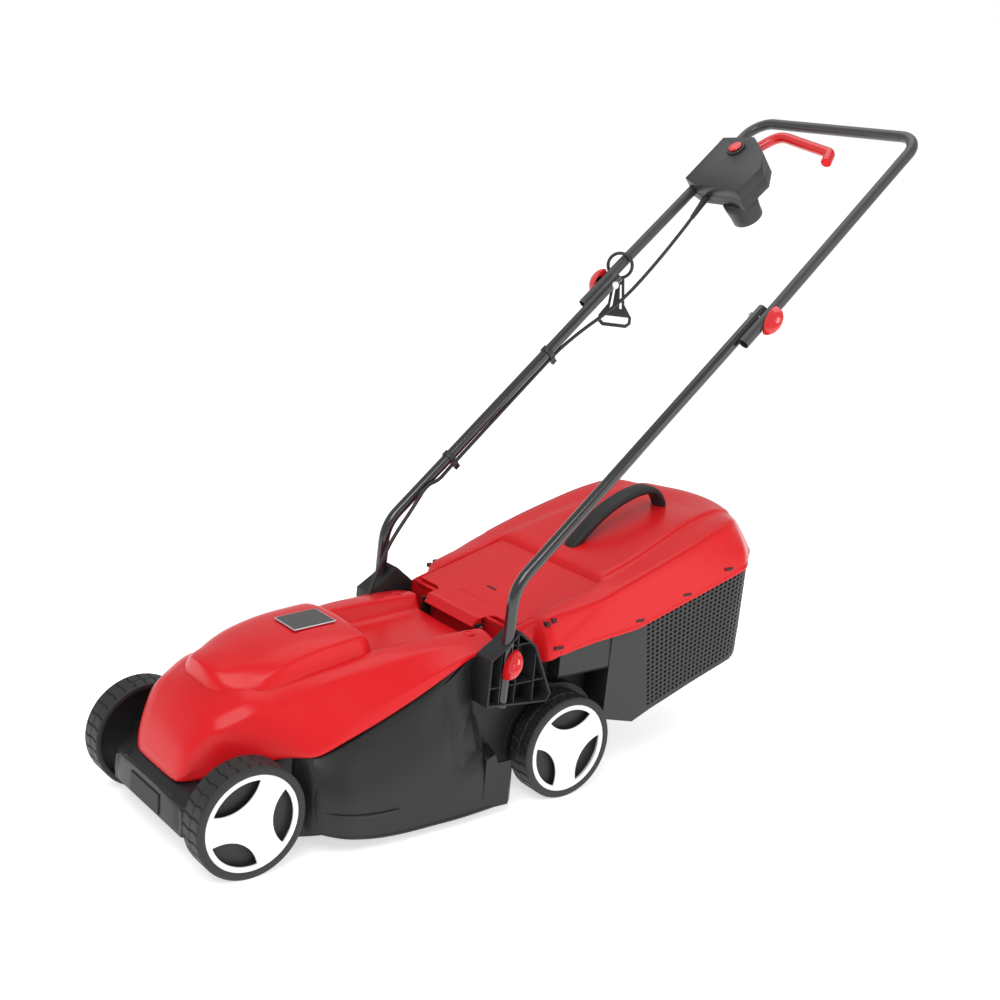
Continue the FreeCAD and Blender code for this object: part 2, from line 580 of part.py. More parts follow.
CABLE_UNDER = -(TUBE_R + CABLE_R + 0.4)
UPPER_CABLE = [RELIEF_START - RELIEF_WAY * 15, RELIEF_START + RELIEF_WAY * 72, on_handle(-155, 130, -23),
               on_handle(-159, 84, -29), on_handle(-162, 40, -33)]
LOWER_CABLE = [on_handle(-165, -46, -27), on_handle(-168, -92, -19), on_handle(-171, -128, CABLE_UNDER - 3),
               on_handle(-174, -160, CABLE_UNDER), on_handle(-170.5, -462, CABLE_UNDER),
               on_handle(-163, -484, -9), on_handle(-158.5, -506, 6), on_handle(-158, -548, -4.7),
               at(-156, 440, 346), at(-151, 416, 308), at(-143, 391, 262),
               at(-132, 372, 226), at(-112, 344, 206), at(-82, 290, 199), at(-40, 209.6, 198)]


def between(first, second, reach):
    """A run that leaves one cable and meets the next along their own directions."""
    leave = (first[-1] - first[-2]).normalize()
    meet = (second[1] - second[0]).normalize()
    return [first[-1], first[-1] + leave * reach, second[0] - meet * reach, second[0]]


FOLD_CABLE = between(UPPER_CABLE, LOWER_CABLE, 27.0)
save("cable_upper", cable(UPPER_CABLE))
save("cable_lower", cable(LOWER_CABLE))
save("cable_fold", cable(FOLD_CABLE))


def cable_clip(x, s):
    """A strap that ties the cable to the underside of the right-hand tube."""
    wrap = rod(TUBE_R + 2.4, on_handle(-LOWER_X, s - 5), SLOPE, 10)
    bridge = rod(CABLE_R + 2.4, on_handle(x, s - 5, CABLE_UNDER), SLOPE, 10)
    ear = handle_prism([(x - 3, s - 5), (x + 3, s - 5), (x + 3, s + 5), (x - 3, s + 5)],
                       CABLE_UNDER - 12, CABLE_UNDER)
    body = wrap.fuse([bridge, ear])
    body = body.cut(rod(TUBE_R + 0.02, on_handle(-LOWER_X, s - 8), SLOPE, 16))
    return body.cut(rod(CABLE_R + 0.3, on_handle(x, s - 8, CABLE_UNDER), SLOPE, 16))


CLIPS = [(-173.8, -178.0), (-170.8, -440.0)]
save("cable_clips", Part.makeCompound([cable_clip(x, s) for x, s in CLIPS]))

# ---- cable hook: a ring round the leg with a slotted loop below ----------------------
HOOK_AT = on_handle(-UPPER_X + 0.5, 46.5)
HOOK_RING_R = 22.0
HOOK_BAR = 3.0
HOOK_TURN = math.radians(128)
HOOK_FACE = Vector(math.cos(HOOK_TURN), math.sin(HOOK_TURN), 0)
HOOK_ACROSS = Vector(math.sin(HOOK_TURN), -math.cos(HOOK_TURN), 0)


def on_hook(across, down, out=0.0):
    return HOOK_AT + HOOK_ACROSS * across - Z * down + HOOK_FACE * out


def hook_plate(outline, half):
    wire = polygon([on_hook(a, d, -half) for a, d in outline])
    return Part.Face(wire).extrude(HOOK_FACE * (2 * half))


def cord_hook():
    loop = Part.makeTorus(HOOK_RING_R, HOOK_BAR, HOOK_AT, HOOK_FACE)
    body = hook_plate([(-10, 21), (10, 21), (15, 70), (30, 92), (30, 104), (22, 111),
                       (-22, 111), (-30, 104), (-30, 92), (-15, 70)], 2.6)
    slot = hook_plate([(-25, 92), (25, 92), (25, 101), (20, 105), (-20, 105), (-25, 101)], 5)
    for a, b in ((-5, -9), (5, 9)):
        slot = slot.fuse(hook_plate([(a - 1.7, 34), (a + 1.7, 34), (b + 2.4, 78), (b - 2.4, 78)], 5))
    return loop.fuse(body.cut(slot))


save("cord_hook", cord_hook())

# ---- rear flap, its rod and springs --------------------------------------------------
FLAP_TONGUE_X = 69.0
FLAP_X = 128.5
FLAP_END_Y = 652.0
SPRING_X = (-46.0, 34.0)
SPRING_LENGTH = 12.0
hinge_line = at(0, FLAP_HINGE.y, FLAP_HINGE.z)


def rear_flap():
    tongue = prism_x([(449, 263), (456, 271), (482, 279.6), (482, 275.6), (458, 266.5), (453, 262)],
                     -FLAP_TONGUE_X, FLAP_TONGUE_X)
    panel = prism_x([(480, 279), (FLAP_END_Y, 327), (FLAP_END_Y, 323.5), (480, 275.5)], -FLAP_X, FLAP_X)
    knuckles = []
    for x0, x1 in ((-68, -48), (-10, 10), (48, 68)):
        knuckles.append(rod(6.0, hinge_line + X * x0, X, x1 - x0))
    body = tongue.fuse([panel] + knuckles)
    for x0 in SPRING_X:
        body = body.cut(rod(5.0, hinge_line + X * (x0 - 0.5), X, SPRING_LENGTH + 1))
    return body.cut(rod(FLAP_HINGE_R + RUNNING, hinge_line - X * 80, X, 160))


save("rear_flap", rear_flap())
save("flap_hinge_rod", rod(FLAP_HINGE_R, hinge_line - X * 76, X, 152))
springs = [ring(4.6, 3.3, hinge_line + X * x0, X, SPRING_LENGTH) for x0 in SPRING_X]
save("flap_springs", Part.makeCompound(springs))

# ---- grass box: tub, lid and grip ----------------------------------------------------
TUB_WALL = 2.5
TUB_SIDE = [(658, 106), (724, 88), (762, 104), (850, 134), (950, 165), (1050, 195), (1050, 325),
            (949, 329), (739, 266), (702, 256), (658, 251)]
TUB_PLAN = [(168, 658), (170, 945), (148, 972), (98, 1030), (50, 1044)]
SHELF_Z = 197.0                # underside of the tub above the rear wheels
TUB_FRONT_Y = 470.0


def mirror_outline(half):
    return half + [(-x, y) for x, y in reversed(half)]


def tub():
    main = prism_x(TUB_SIDE, -200, 200).common(prism_z(mirror_outline(TUB_PLAN), 60, 400))
    upper_side = [(TUB_FRONT_Y, SHELF_Z), (660, SHELF_Z), (660, 251), (541, 235), (503, 219),
                  (TUB_FRONT_Y, 219)]
    upper_plan = [(141, TUB_FRONT_Y), (141, 548), (168, 552), (168, 660)]
    front = prism_x(upper_side, -200, 200).common(prism_z(mirror_outline(upper_plan), 60, 400))
    lower = box(-112, 112, TUB_FRONT_Y, 660, 103, SHELF_Z + 2)
    outer = main.fuse([front, lower])
    w = TUB_WALL
    inner_side = [(658 + w, 106 + w), (724, 88 + w), (761, 104 + w), (849, 134 + w), (949, 165 + w),
                  (1050, 195 + w), (1050, 420), (655, 420), (655, SHELF_Z + w), (658 + w, SHELF_Z + w)]
    inner_plan = [(168 - w, 650), (170 - w, 944), (148 - w, 970), (97 - w, 1027), (50 - w, 1041)]
    inside = prism_x(inner_side, -200, 200).common(prism_z(mirror_outline(inner_plan), 60, 430))
    upper_plan = [(141 - w, 460), (141 - w, 548 + w), (168 - w, 552 + w), (168 - w, 670)]
    inside = inside.fuse(prism_z(mirror_outline(upper_plan), SHELF_Z + w, 430))
    inside = inside.fuse(box(-112 + w, 112 - w, 460, 670, 103 + w, SHELF_Z + 10))
    return outer.cut(inside).removeSplitter()


save("grass_box_tub", tub())

LID = [
    (474.0, [(144.5, 222), (144.3, 250), (144, 269), (132, 279), (60, 280), (0, 280)]),
    (504.0, [(144.5, 222), (144.3, 252), (144, 277), (132, 288), (60, 289), (0, 289)]),
    (515.0, [(173, 227), (168, 262), (152, 290), (132, 292), (60, 292.5), (0, 292.5)]),
    (541.0, [(175, 238), (171, 270), (155, 299), (132, 300), (60, 300.5), (0, 300.5)]),
    (580.0, [(175, 245), (173, 284), (163, 306), (133, 310.5), (60, 311), (0, 311)]),
    (620.0, [(175, 250), (174.5, 292), (173, 316), (133, 321), (60, 322), (0, 322)]),
    (655.0, [(175, 253), (175, 300), (174.5, 328), (130, 335), (60, 334), (0, 333)]),
    (702.0, [(175, 258), (175, 310), (174.5, 345), (127, 350), (60, 350), (0, 349)]),
    (739.0, [(175, 268), (175, 320), (174.5, 357), (123.5, 361), (60, 361), (0, 360)]),
    (800.0, [(175, 286), (175, 335), (171, 376), (114, 379), (60, 380), (0, 379)]),
    (845.0, [(175, 299), (174, 346), (166, 390), (107, 393), (60, 392), (0, 391)]),
    (885.0, [(175, 311), (173, 354), (160, 400), (102, 403.5), (60, 399), (0, 396)]),
    (920.0, [(175, 321), (172, 358), (150, 407), (98, 409), (56, 404), (0, 400)]),
    (945.0, [(174, 329), (170, 358), (133, 404), (96, 411), (56, 407), (0, 403)]),
    (975.0, [(148, 331), (143, 352), (112, 390), (88, 404), (52, 410), (0, 410)]),
    (995.0, [(131, 330), (126, 350), (96, 383), (74, 396), (46, 405), (0, 408)]),
    (1030.0, [(100, 328), (96, 340), (70, 362), (52, 374), (30, 384), (0, 388)]),
    (1052.0, [(50, 325), (48, 332), (40, 346), (30, 356), (18, 362), (0, 364)]),
]


def flap_bed(grow):
    side = [(460 - grow, 267.5 - grow), (653.6 + grow, 321.5 - grow), (653.6 + grow, 460),
            (460 - grow, 460)]
    return prism_x(side, -130.0 - grow, 130.0 + grow)


def lid():
    outer = ribbed_loft(LID).cut(flap_bed(0))
    inner = ribbed_loft(inset(LID, WALL, 20)).cut(flap_bed(WALL))
    return outer.cut(inner)


save("grass_box_lid", sorted(lid().Solids, key=lambda s: -s.Volume)[0])

GRIP_X = 16.0
grip = prism_x([(684, 330), (684, 350), (756, 408), (817, 434), (856, 443.5), (886, 434), (907, 400),
                (907, 380), (888, 380), (888, 398), (873, 424), (856, 428), (817, 419), (765, 394),
                (712, 358), (712, 330)], -GRIP_X, GRIP_X)
grip = grip.cut(ribbed_loft(LID))
save("grass_box_grip", sorted(grip.Solids, key=lambda s: -s.Volume)[0])
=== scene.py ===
import bmesh
import bpy
import math
from mathutils import Matrix, Vector


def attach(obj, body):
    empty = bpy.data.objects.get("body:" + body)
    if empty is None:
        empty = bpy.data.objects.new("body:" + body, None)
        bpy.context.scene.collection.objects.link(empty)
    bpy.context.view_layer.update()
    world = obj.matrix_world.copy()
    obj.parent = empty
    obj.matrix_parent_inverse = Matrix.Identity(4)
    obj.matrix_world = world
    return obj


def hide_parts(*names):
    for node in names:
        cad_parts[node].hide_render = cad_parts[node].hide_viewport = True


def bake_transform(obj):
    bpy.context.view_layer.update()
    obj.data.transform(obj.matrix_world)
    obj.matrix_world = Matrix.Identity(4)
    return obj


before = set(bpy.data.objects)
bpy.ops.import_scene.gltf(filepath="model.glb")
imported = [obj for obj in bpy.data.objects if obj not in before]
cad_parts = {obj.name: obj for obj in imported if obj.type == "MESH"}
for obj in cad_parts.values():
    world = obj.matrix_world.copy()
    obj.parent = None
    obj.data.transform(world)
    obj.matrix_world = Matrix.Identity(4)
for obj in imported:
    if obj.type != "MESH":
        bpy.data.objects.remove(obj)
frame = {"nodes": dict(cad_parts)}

bl_info = {
    "name": "Electric rotary mower",
    "version": (1, 0, 0),
    "blender": (4, 5, 0),
    "location": "View3D > Sidebar > Mower",
    "description": "Builds the looks of a corded rotary mower around its CAD frame",
    "category": "Add Mesh",
}

# ---- frame: millimetres, y counted from the front axle ------------------------------
FRONT_AXLE_Y = -575.5
SLOPE_ANGLE = math.radians(41.28)
SLOPE = Vector((0, math.cos(SLOPE_ANGLE), math.sin(SLOPE_ANGLE)))
NORMAL = Vector((0, -math.sin(SLOPE_ANGLE), math.cos(SLOPE_ANGLE)))
FOLD_Y, FOLD_Z = 889.0, 761.3
AXLE_Z = 85.0
KNOB_ANGLE = math.radians(66)
WHEELBASE = 559.0


def at(x, y, z):
    """A place in the frame, from millimetres."""
    return Vector((x, y + FRONT_AXLE_Y, z)) * 0.001


def on_handle(x, s, h=0.0):
    """A place on the handle: s along its slope from the fold, h square to it."""
    return at(x, FOLD_Y, FOLD_Z) + (SLOPE * s + NORMAL * h) * 0.001


# ---- mesh helpers -------------------------------------------------------------------
def new_object(name, mesh):
    """Puts a mesh in the scene."""
    obj = bpy.data.objects.new(name, mesh)
    bpy.context.scene.collection.objects.link(obj)
    return obj


def finish_mesh(name, bm, material, smooth=True):
    """Makes an object from a built mesh, with its normals out."""
    bmesh.ops.remove_doubles(bm, verts=bm.verts, dist=1e-6)
    bmesh.ops.recalc_face_normals(bm, faces=bm.faces)
    mesh = bpy.data.meshes.new(name)
    bm.to_mesh(mesh)
    bm.free()
    mesh.materials.append(material)
    mesh.polygons.foreach_set("use_smooth", [smooth] * len(mesh.polygons))
    return new_object(name, mesh)


def modifier(obj, kind, **values):
    """Adds a modifier and sets its values."""
    mod = obj.modifiers.new(kind.lower(), kind)
    for key, value in values.items():
        setattr(mod, key, value)
    return mod


def rounded(obj, width, segments=3, angle=35.0, harden=True):
    """Rounds the sharp edges by a width in millimetres."""
    modifier(obj, "BEVEL", width=width * 0.001, segments=segments, limit_method="ANGLE",
             angle_limit=math.radians(angle), harden_normals=harden)
    return obj


def applied(obj):
    """The object's mesh with its modifiers made real."""
    graph = bpy.context.evaluated_depsgraph_get()
    mesh = bpy.data.meshes.new_from_object(obj.evaluated_get(graph))
    obj.modifiers.clear()
    obj.data = mesh
    return obj


def between(values, t):
    """A smooth curve through (key, number list) pairs, read at t."""
    n = len(values)
    k = 0
    while k < n - 2 and t > values[k + 1][0]:
        k += 1
    t0, p0 = values[k]
    t1, p1 = values[k + 1]
    before = values[max(k - 1, 0)]
    after = values[min(k + 2, n - 1)]
    u = (t - t0) / (t1 - t0)
    out = []
    for i in range(len(p0)):
        m0 = (p1[i] - before[1][i]) / max(t1 - before[0], 1e-6) * (t1 - t0)
        m1 = (after[1][i] - p0[i]) / max(after[0] - t0, 1e-6) * (t1 - t0)
        u2, u3 = u * u, u * u * u
        out.append((2 * u3 - 3 * u2 + 1) * p0[i] + (u3 - 2 * u2 + u) * m0
                   + (3 * u2 - 2 * u3) * p1[i] + (u3 - u2) * m1)
    return out


def straight(values, t):
    """The straight line through (key, number) pairs, read at t."""
    k = 0
    while k < len(values) - 2 and t > values[k + 1][0]:
        k += 1
    (t0, a), (t1, b) = values[k], values[k + 1]
    return a + (b - a) * (t - t0) / (t1 - t0)


def skin(name, stations, material, creases=(), step=12.0, level=2, thick=0.0,
         front=True, rear=True, end_crease=0.4, inward=-1.0):
    """A mirrored skin through half sections (x, z), each from its lower edge inwards."""
    flat = [(y, [c for point in half for c in point]) for y, half in stations]
    keys = []
    for (y0, _), (y1, _) in zip(flat, flat[1:]):
        count = max(1, round((y1 - y0) / step))
        keys += [y0 + (y1 - y0) * i / count for i in range(count)]
    keys.append(flat[-1][0])
    bm = bmesh.new()
    crease = bm.edges.layers.float.new("crease_edge")
    rows = []
    for y in keys:
        numbers = between(flat, y)
        half = list(zip(numbers[::2], numbers[1::2]))
        right = [bm.verts.new(at(x, y, z)) for x, z in half]
        closed = half[-1][0] < 0.01
        left = [bm.verts.new(at(-x, y, z)) for x, z in (half[:-1] if closed else half)]
        rows.append((right, left + [right[-1]] if closed else left))
    for (r0, l0), (r1, l1) in zip(rows, rows[1:]):
        for a, b in ((r0, r1), (l1, l0)):
            for i in range(len(r0) - 1):
                bm.faces.new((a[i], a[i + 1], b[i + 1], b[i]))
    for end, (right, left) in ((front, rows[0]), (rear, rows[-1])):
        if end:
            for i in range(len(right) - 1):
                corners = [right[i], right[i + 1], left[i + 1], left[i]]
                face = [v for k, v in enumerate(corners) if v not in corners[:k]]
                bm.faces.new(face)
                for a, b in ((right[i], right[i + 1]), (left[i], left[i + 1])):
                    bm.edges.get((a, b))[crease] = end_crease
    for column, value in creases:
        for (r0, l0), (r1, l1) in zip(rows, rows[1:]):
            for a, b in ((r0, r1), (l0, l1)):
                edge = bm.edges.get((a[column], b[column]))
                if edge:
                    edge[crease] = value
    obj = finish_mesh(name, bm, material)
    modifier(obj, "SUBSURF", levels=level, render_levels=level, boundary_smooth="ALL")
    if thick:
        modifier(obj, "SOLIDIFY", thickness=thick * 0.001, offset=inward)
    return obj


def prism(name, outline, place, direction, depth, material, bevel=0.0, segments=3):
    """A flat outline of points, thick along a direction, with rounded edges."""
    bm = bmesh.new()
    low = [bm.verts.new(place(*p)) for p in outline]
    step = Vector(direction) * depth * 0.001
    high = [bm.verts.new(v.co + step) for v in low]
    n = len(low)
    bm.faces.new(low[::-1])
    bm.faces.new(high)
    for i in range(n):
        bm.faces.new((low[i], low[(i + 1) % n], high[(i + 1) % n], high[i]))
    obj = finish_mesh(name, bm, material, smooth=False)
    if bevel:
        rounded(obj, bevel, segments)
        obj.data.polygons.foreach_set("use_smooth", [True] * len(obj.data.polygons))
    return obj


def block(name, low, high, material, bevel=0.5):
    outline = [(low[0], low[1]), (high[0], low[1]), (high[0], high[1]), (low[0], high[1])]
    return prism(name, outline, lambda x, y: at(x, y, low[2]), (0, 0, 1), high[2] - low[2], material, bevel)


def side_prism(name, outline, x0, x1, material, bevel=0.5):
    """An outline of (y, z), thick along X."""
    return prism(name, outline, lambda y, z: at(x0, y, z), (1, 0, 0), x1 - x0, material, bevel)


def lathe(name, profile, centre, direction, material, segments=96, shape=None):
    """A (depth, radius) profile turned about a direction; shape may change a radius."""
    axis = Vector(direction).normalized()
    side = axis.orthogonal().normalized()
    other = axis.cross(side)
    bm = bmesh.new()
    rings = []
    for k in range(segments):
        angle = 2 * math.pi * k / segments
        out = side * math.cos(angle) + other * math.sin(angle)
        ring = []
        for d, r in profile:
            radius = shape(d, r, angle) if shape else r
            ring.append(bm.verts.new(centre + (axis * d + out * radius) * 0.001))
        rings.append(ring)
    for k in range(segments):
        a, b = rings[k], rings[(k + 1) % segments]
        for i in range(len(profile) - 1):
            bm.faces.new((a[i], a[i + 1], b[i + 1], b[i]))
    return finish_mesh(name, bm, material)


def cable_curve(name, points, radius, material):
    """A smooth round cable through control points, as a mesh."""
    data = bpy.data.curves.new(name, "CURVE")
    data.dimensions = "3D"
    data.bevel_depth = radius * 0.001
    data.bevel_resolution = 5
    data.resolution_u = 10
    data.use_fill_caps = True
    line = data.splines.new("NURBS")
    line.points.add(len(points) - 1)
    for point, place in zip(line.points, points):
        point.co = (*place, 1.0)
    line.order_u = 3
    line.use_endpoint_u = True
    curve = bpy.data.objects.new(name, data)
    bpy.context.scene.collection.objects.link(curve)
    graph = bpy.context.evaluated_depsgraph_get()
    mesh = bpy.data.meshes.new_from_object(curve.evaluated_get(graph))
    bpy.data.objects.remove(curve)
    mesh.materials.clear()
    mesh.materials.append(material)
    return new_object(name, mesh)


def join(name, objects):
    """One mesh from several, modifiers made real."""
    bm = bmesh.new()
    materials = []
    for obj in objects:
        applied(obj)
        for m in obj.data.materials:
            if m not in materials:
                materials.append(m)
        start = len(bm.faces)
        bm.from_mesh(obj.data)
        bm.faces.ensure_lookup_table()
        slots = [materials.index(m) for m in obj.data.materials]
        for face in bm.faces[start:]:
            face.material_index = slots[face.material_index] if slots else 0
        bpy.data.objects.remove(obj)
    mesh = bpy.data.meshes.new(name)
    bm.to_mesh(mesh)
    bm.free()
    for m in materials:
        mesh.materials.append(m)
    return new_object(name, mesh)


# ---- materials ----------------------------------------------------------------------
def grain_group():
    """Fine moulded grain on Object coordinates: a roughness change and a normal."""
    group = bpy.data.node_groups.get("Grain")
    if group:
        return group
    group = bpy.data.node_groups.new("Grain", "ShaderNodeTree")
    for label, low in (("Scale", 1.0), ("Depth", 0.0)):
        group.interface.new_socket(label, in_out="INPUT", socket_type="NodeSocketFloat")
    group.interface.new_socket("Change", in_out="OUTPUT", socket_type="NodeSocketFloat")
    group.interface.new_socket("Normal", in_out="OUTPUT", socket_type="NodeSocketVector")
    n = group.nodes
    enter, leave = n.new("NodeGroupInput"), n.new("NodeGroupOutput")
    coords, noise, bump = n.new("ShaderNodeTexCoord"), n.new("ShaderNodeTexNoise"), n.new("ShaderNodeBump")
    noise.inputs["Detail"].default_value = 3.0
    bump.inputs["Distance"].default_value = 0.0004
    link = group.links.new
    link(coords.outputs["Object"], noise.inputs["Vector"])
    link(enter.outputs["Scale"], noise.inputs["Scale"])
    link(enter.outputs["Depth"], bump.inputs["Strength"])
    link(noise.outputs["Fac"], bump.inputs["Height"])
    link(noise.outputs["Fac"], leave.inputs["Change"])
    link(bump.outputs["Normal"], leave.inputs["Normal"])
    return group


def material(name, color, roughness=0.4, metallic=0.0, coat=0.0, grain=900.0, depth=0.08, spread=0.08,
             shine=0.5):
    found = bpy.data.materials.get(name)
    if found:
        return found
    mat = bpy.data.materials.new(name)
    mat.use_nodes = True
    mat.diffuse_color = (*color, 1.0)
    nodes, link = mat.node_tree.nodes, mat.node_tree.links.new
    shader = nodes["Principled BSDF"]
    shader.inputs["Base Color"].default_value = (*color, 1.0)
    shader.inputs["Metallic"].default_value = metallic
    shader.inputs["Coat Weight"].default_value = coat
    shader.inputs["Specular IOR Level"].default_value = shine
    shader.inputs["Coat Roughness"].default_value = 0.12
    texture = nodes.new("ShaderNodeGroup")
    texture.node_tree = grain_group()
    texture.inputs["Scale"].default_value = grain
    texture.inputs["Depth"].default_value = depth
    spreader = nodes.new("ShaderNodeMapRange")
    spreader.inputs["To Min"].default_value = max(roughness - spread, 0.02)
    spreader.inputs["To Max"].default_value = min(roughness + spread, 1.0)
    link(texture.outputs["Change"], spreader.inputs["Value"])
    link(spreader.outputs["Result"], shader.inputs["Roughness"])
    link(texture.outputs["Normal"], shader.inputs["Normal"])
    return mat


def red(settings):
    return material("red plastic", settings.red, 0.3, coat=0.04, grain=700, depth=0.05, spread=0.04,
                    shine=0.22)


def black(settings):
    return material("black plastic", settings.black, 0.42, grain=1400, depth=0.2, shine=0.36)


def dark(settings):
    return material("dark grey plastic", settings.dark, 0.5, grain=1400, depth=0.2, shine=0.3)


def steel():
    return material("steel", (0.6, 0.6, 0.61), 0.3, metallic=1.0, grain=2000, depth=0.05)


# ---- the pieces ---------------------------------------------------------------------
def build_cover(s):
    """The red shell with its bulge, screw pads and badge plate."""
    m = red(s)
    main = [
        (-57, [(58, 107), (60, 109), (60, 112), (54, 116), (44, 118), (36, 119), (20, 120), (0, 120)]),
        (-50, [(70, 109), (75, 119), (76, 131), (70, 142), (58, 147), (45, 150), (24, 152), (0, 153)]),
        (-38, [(79, 112), (82, 131), (83, 149), (80, 163), (68, 173), (54, 177), (28, 180), (0, 182)]),
        (-22, [(91, 117), (94, 141), (95, 166), (92, 186), (78, 198), (60, 204), (31, 208), (0, 211)]),
        (0, [(108, 125), (109, 147), (108, 171), (104, 193), (88, 210), (68, 219), (36, 225), (0, 228)]),
        (35, [(129, 140), (130, 153), (122, 185), (112, 213), (97, 226), (76, 234), (40, 240), (0, 243)]),
        (70, [(138, 148), (140, 152), (132, 190), (116, 219), (99, 231), (78, 239), (40, 245), (0, 248)]),
        (96, [(150, 148), (151, 153), (137, 193), (117, 224), (100, 236), (80, 243), (40, 248), (0, 250)]),
        (116, [(159, 149), (159, 154), (139, 197), (117, 230), (101, 240), (81, 246), (40, 249), (0, 250)]),
        (150, [(163, 162), (161, 173), (141, 207), (118, 240), (101, 247), (83, 251), (60, 250), (0, 250)]),
        (217, [(164, 186), (161, 201), (141, 228), (119, 252), (102, 257), (85, 259), (74, 252), (0, 250)]),
        (250, [(164, 199), (161, 214), (141, 236), (120, 257), (103, 262), (86, 263), (77, 243), (0, 240)]),
        (285, [(163, 213), (160, 227), (141, 244), (121, 262), (104, 265), (86, 266), (76, 240), (0, 238)]),
        (322, [(160, 228), (158, 240), (141, 251), (121, 265), (104, 267), (86, 268), (75, 240), (0, 239)]),
        (360, [(156, 243), (155, 251), (140, 257), (122, 265), (104, 268), (86, 269), (74, 242), (0, 240)]),
        (392, [(150, 252), (149.5, 256), (138, 259), (122, 264), (104, 268), (87, 269), (73, 244), (0, 242)]),
        (446, [(147.5, 254), (147.5, 256), (137, 259), (122, 263), (104, 268), (88, 269), (74, 246), (0, 244)]),
    ]
    shell = skin("cover_shell", main, m, [(1, 0.7), (3, 0.85), (4, 0.5), (5, 0.85), (6, 0.6)],
                 thick=2.6, rear=False, end_crease=0.3)
    bulge = [
        (3, [(40, 222), (37, 238), (32, 246), (24, 253), (13, 257), (0, 258)]),
        (14, [(56, 222), (53, 236), (47, 244), (38, 255), (20, 260), (0, 262)]),
        (34, [(76, 222), (71, 234), (62, 243), (48, 258), (26, 264), (0, 267)]),
        (60, [(90, 224), (88, 237), (81, 247), (62, 264), (34, 270), (0, 272)]),
        (87, [(93, 230), (91, 245), (86, 259), (66, 272), (36, 277), (0, 279)]),
        (120, [(94, 234), (92, 253), (86, 270), (66, 280), (36, 284), (0, 285)]),
        (154, [(94, 238), (92, 258), (84.5, 278), (66, 286), (36, 289), (0, 290)]),
        (200, [(94, 240), (91, 262), (82.5, 284), (64, 290), (36, 292), (0, 293)]),
        (232, [(93, 242), (90, 264), (79, 287), (60, 291), (34, 293), (0, 293.5)]),
        (241, [(91, 243), (87, 262), (76, 284), (58, 288), (33, 290), (0, 290.5)]),
        (250, [(88, 244), (83, 256), (73, 269), (56, 273), (32, 275), (0, 275.5)]),
        (260, [(83, 238), (78, 244), (71, 250), (55, 253), (32, 254), (0, 254)]),
    ]
    top = skin("cover_bulge", bulge, m, [(2, 0.6), (1, 0.2)], step=8, thick=2.0, end_crease=0.2)
    for obj in (shell, top):
        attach(obj, "chassis")
    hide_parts("motor_cover")
    fittings = []
    for side in (-1, 1):
        pad = lathe("pad", [(0, 10.5), (1.3, 10.2), (1.9, 9.4), (1.9, 6.2), (-3.5, 6.2), (-3.5, 0.01)],
                    at(side * 98.5, 417, 267.6), (0, 0, 1), m, 40)
        fittings.append(pad)
    pads = join("cover_screw_pads", fittings)
    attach(pads, "chassis")
    plate = side_prism("badge_plate", [(147, 290.6), (215, 294.9), (215, 297.2), (147, 292.9)], -28, 28,
                       material("badge black", (0.006, 0.006, 0.006), 0.2, coat=0.4, depth=0.0), 0.8)
    rim = side_prism("badge_rim", [(145, 289.8), (217, 294.2), (217, 296.6), (145, 292.3)], -30, 30,
                     material("badge rim", (0.6, 0.61, 0.63), 0.25, metallic=1.0, depth=0.0), 0.8)
    for obj in (plate, rim):
        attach(obj, "chassis")
    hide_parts("cover_plate")


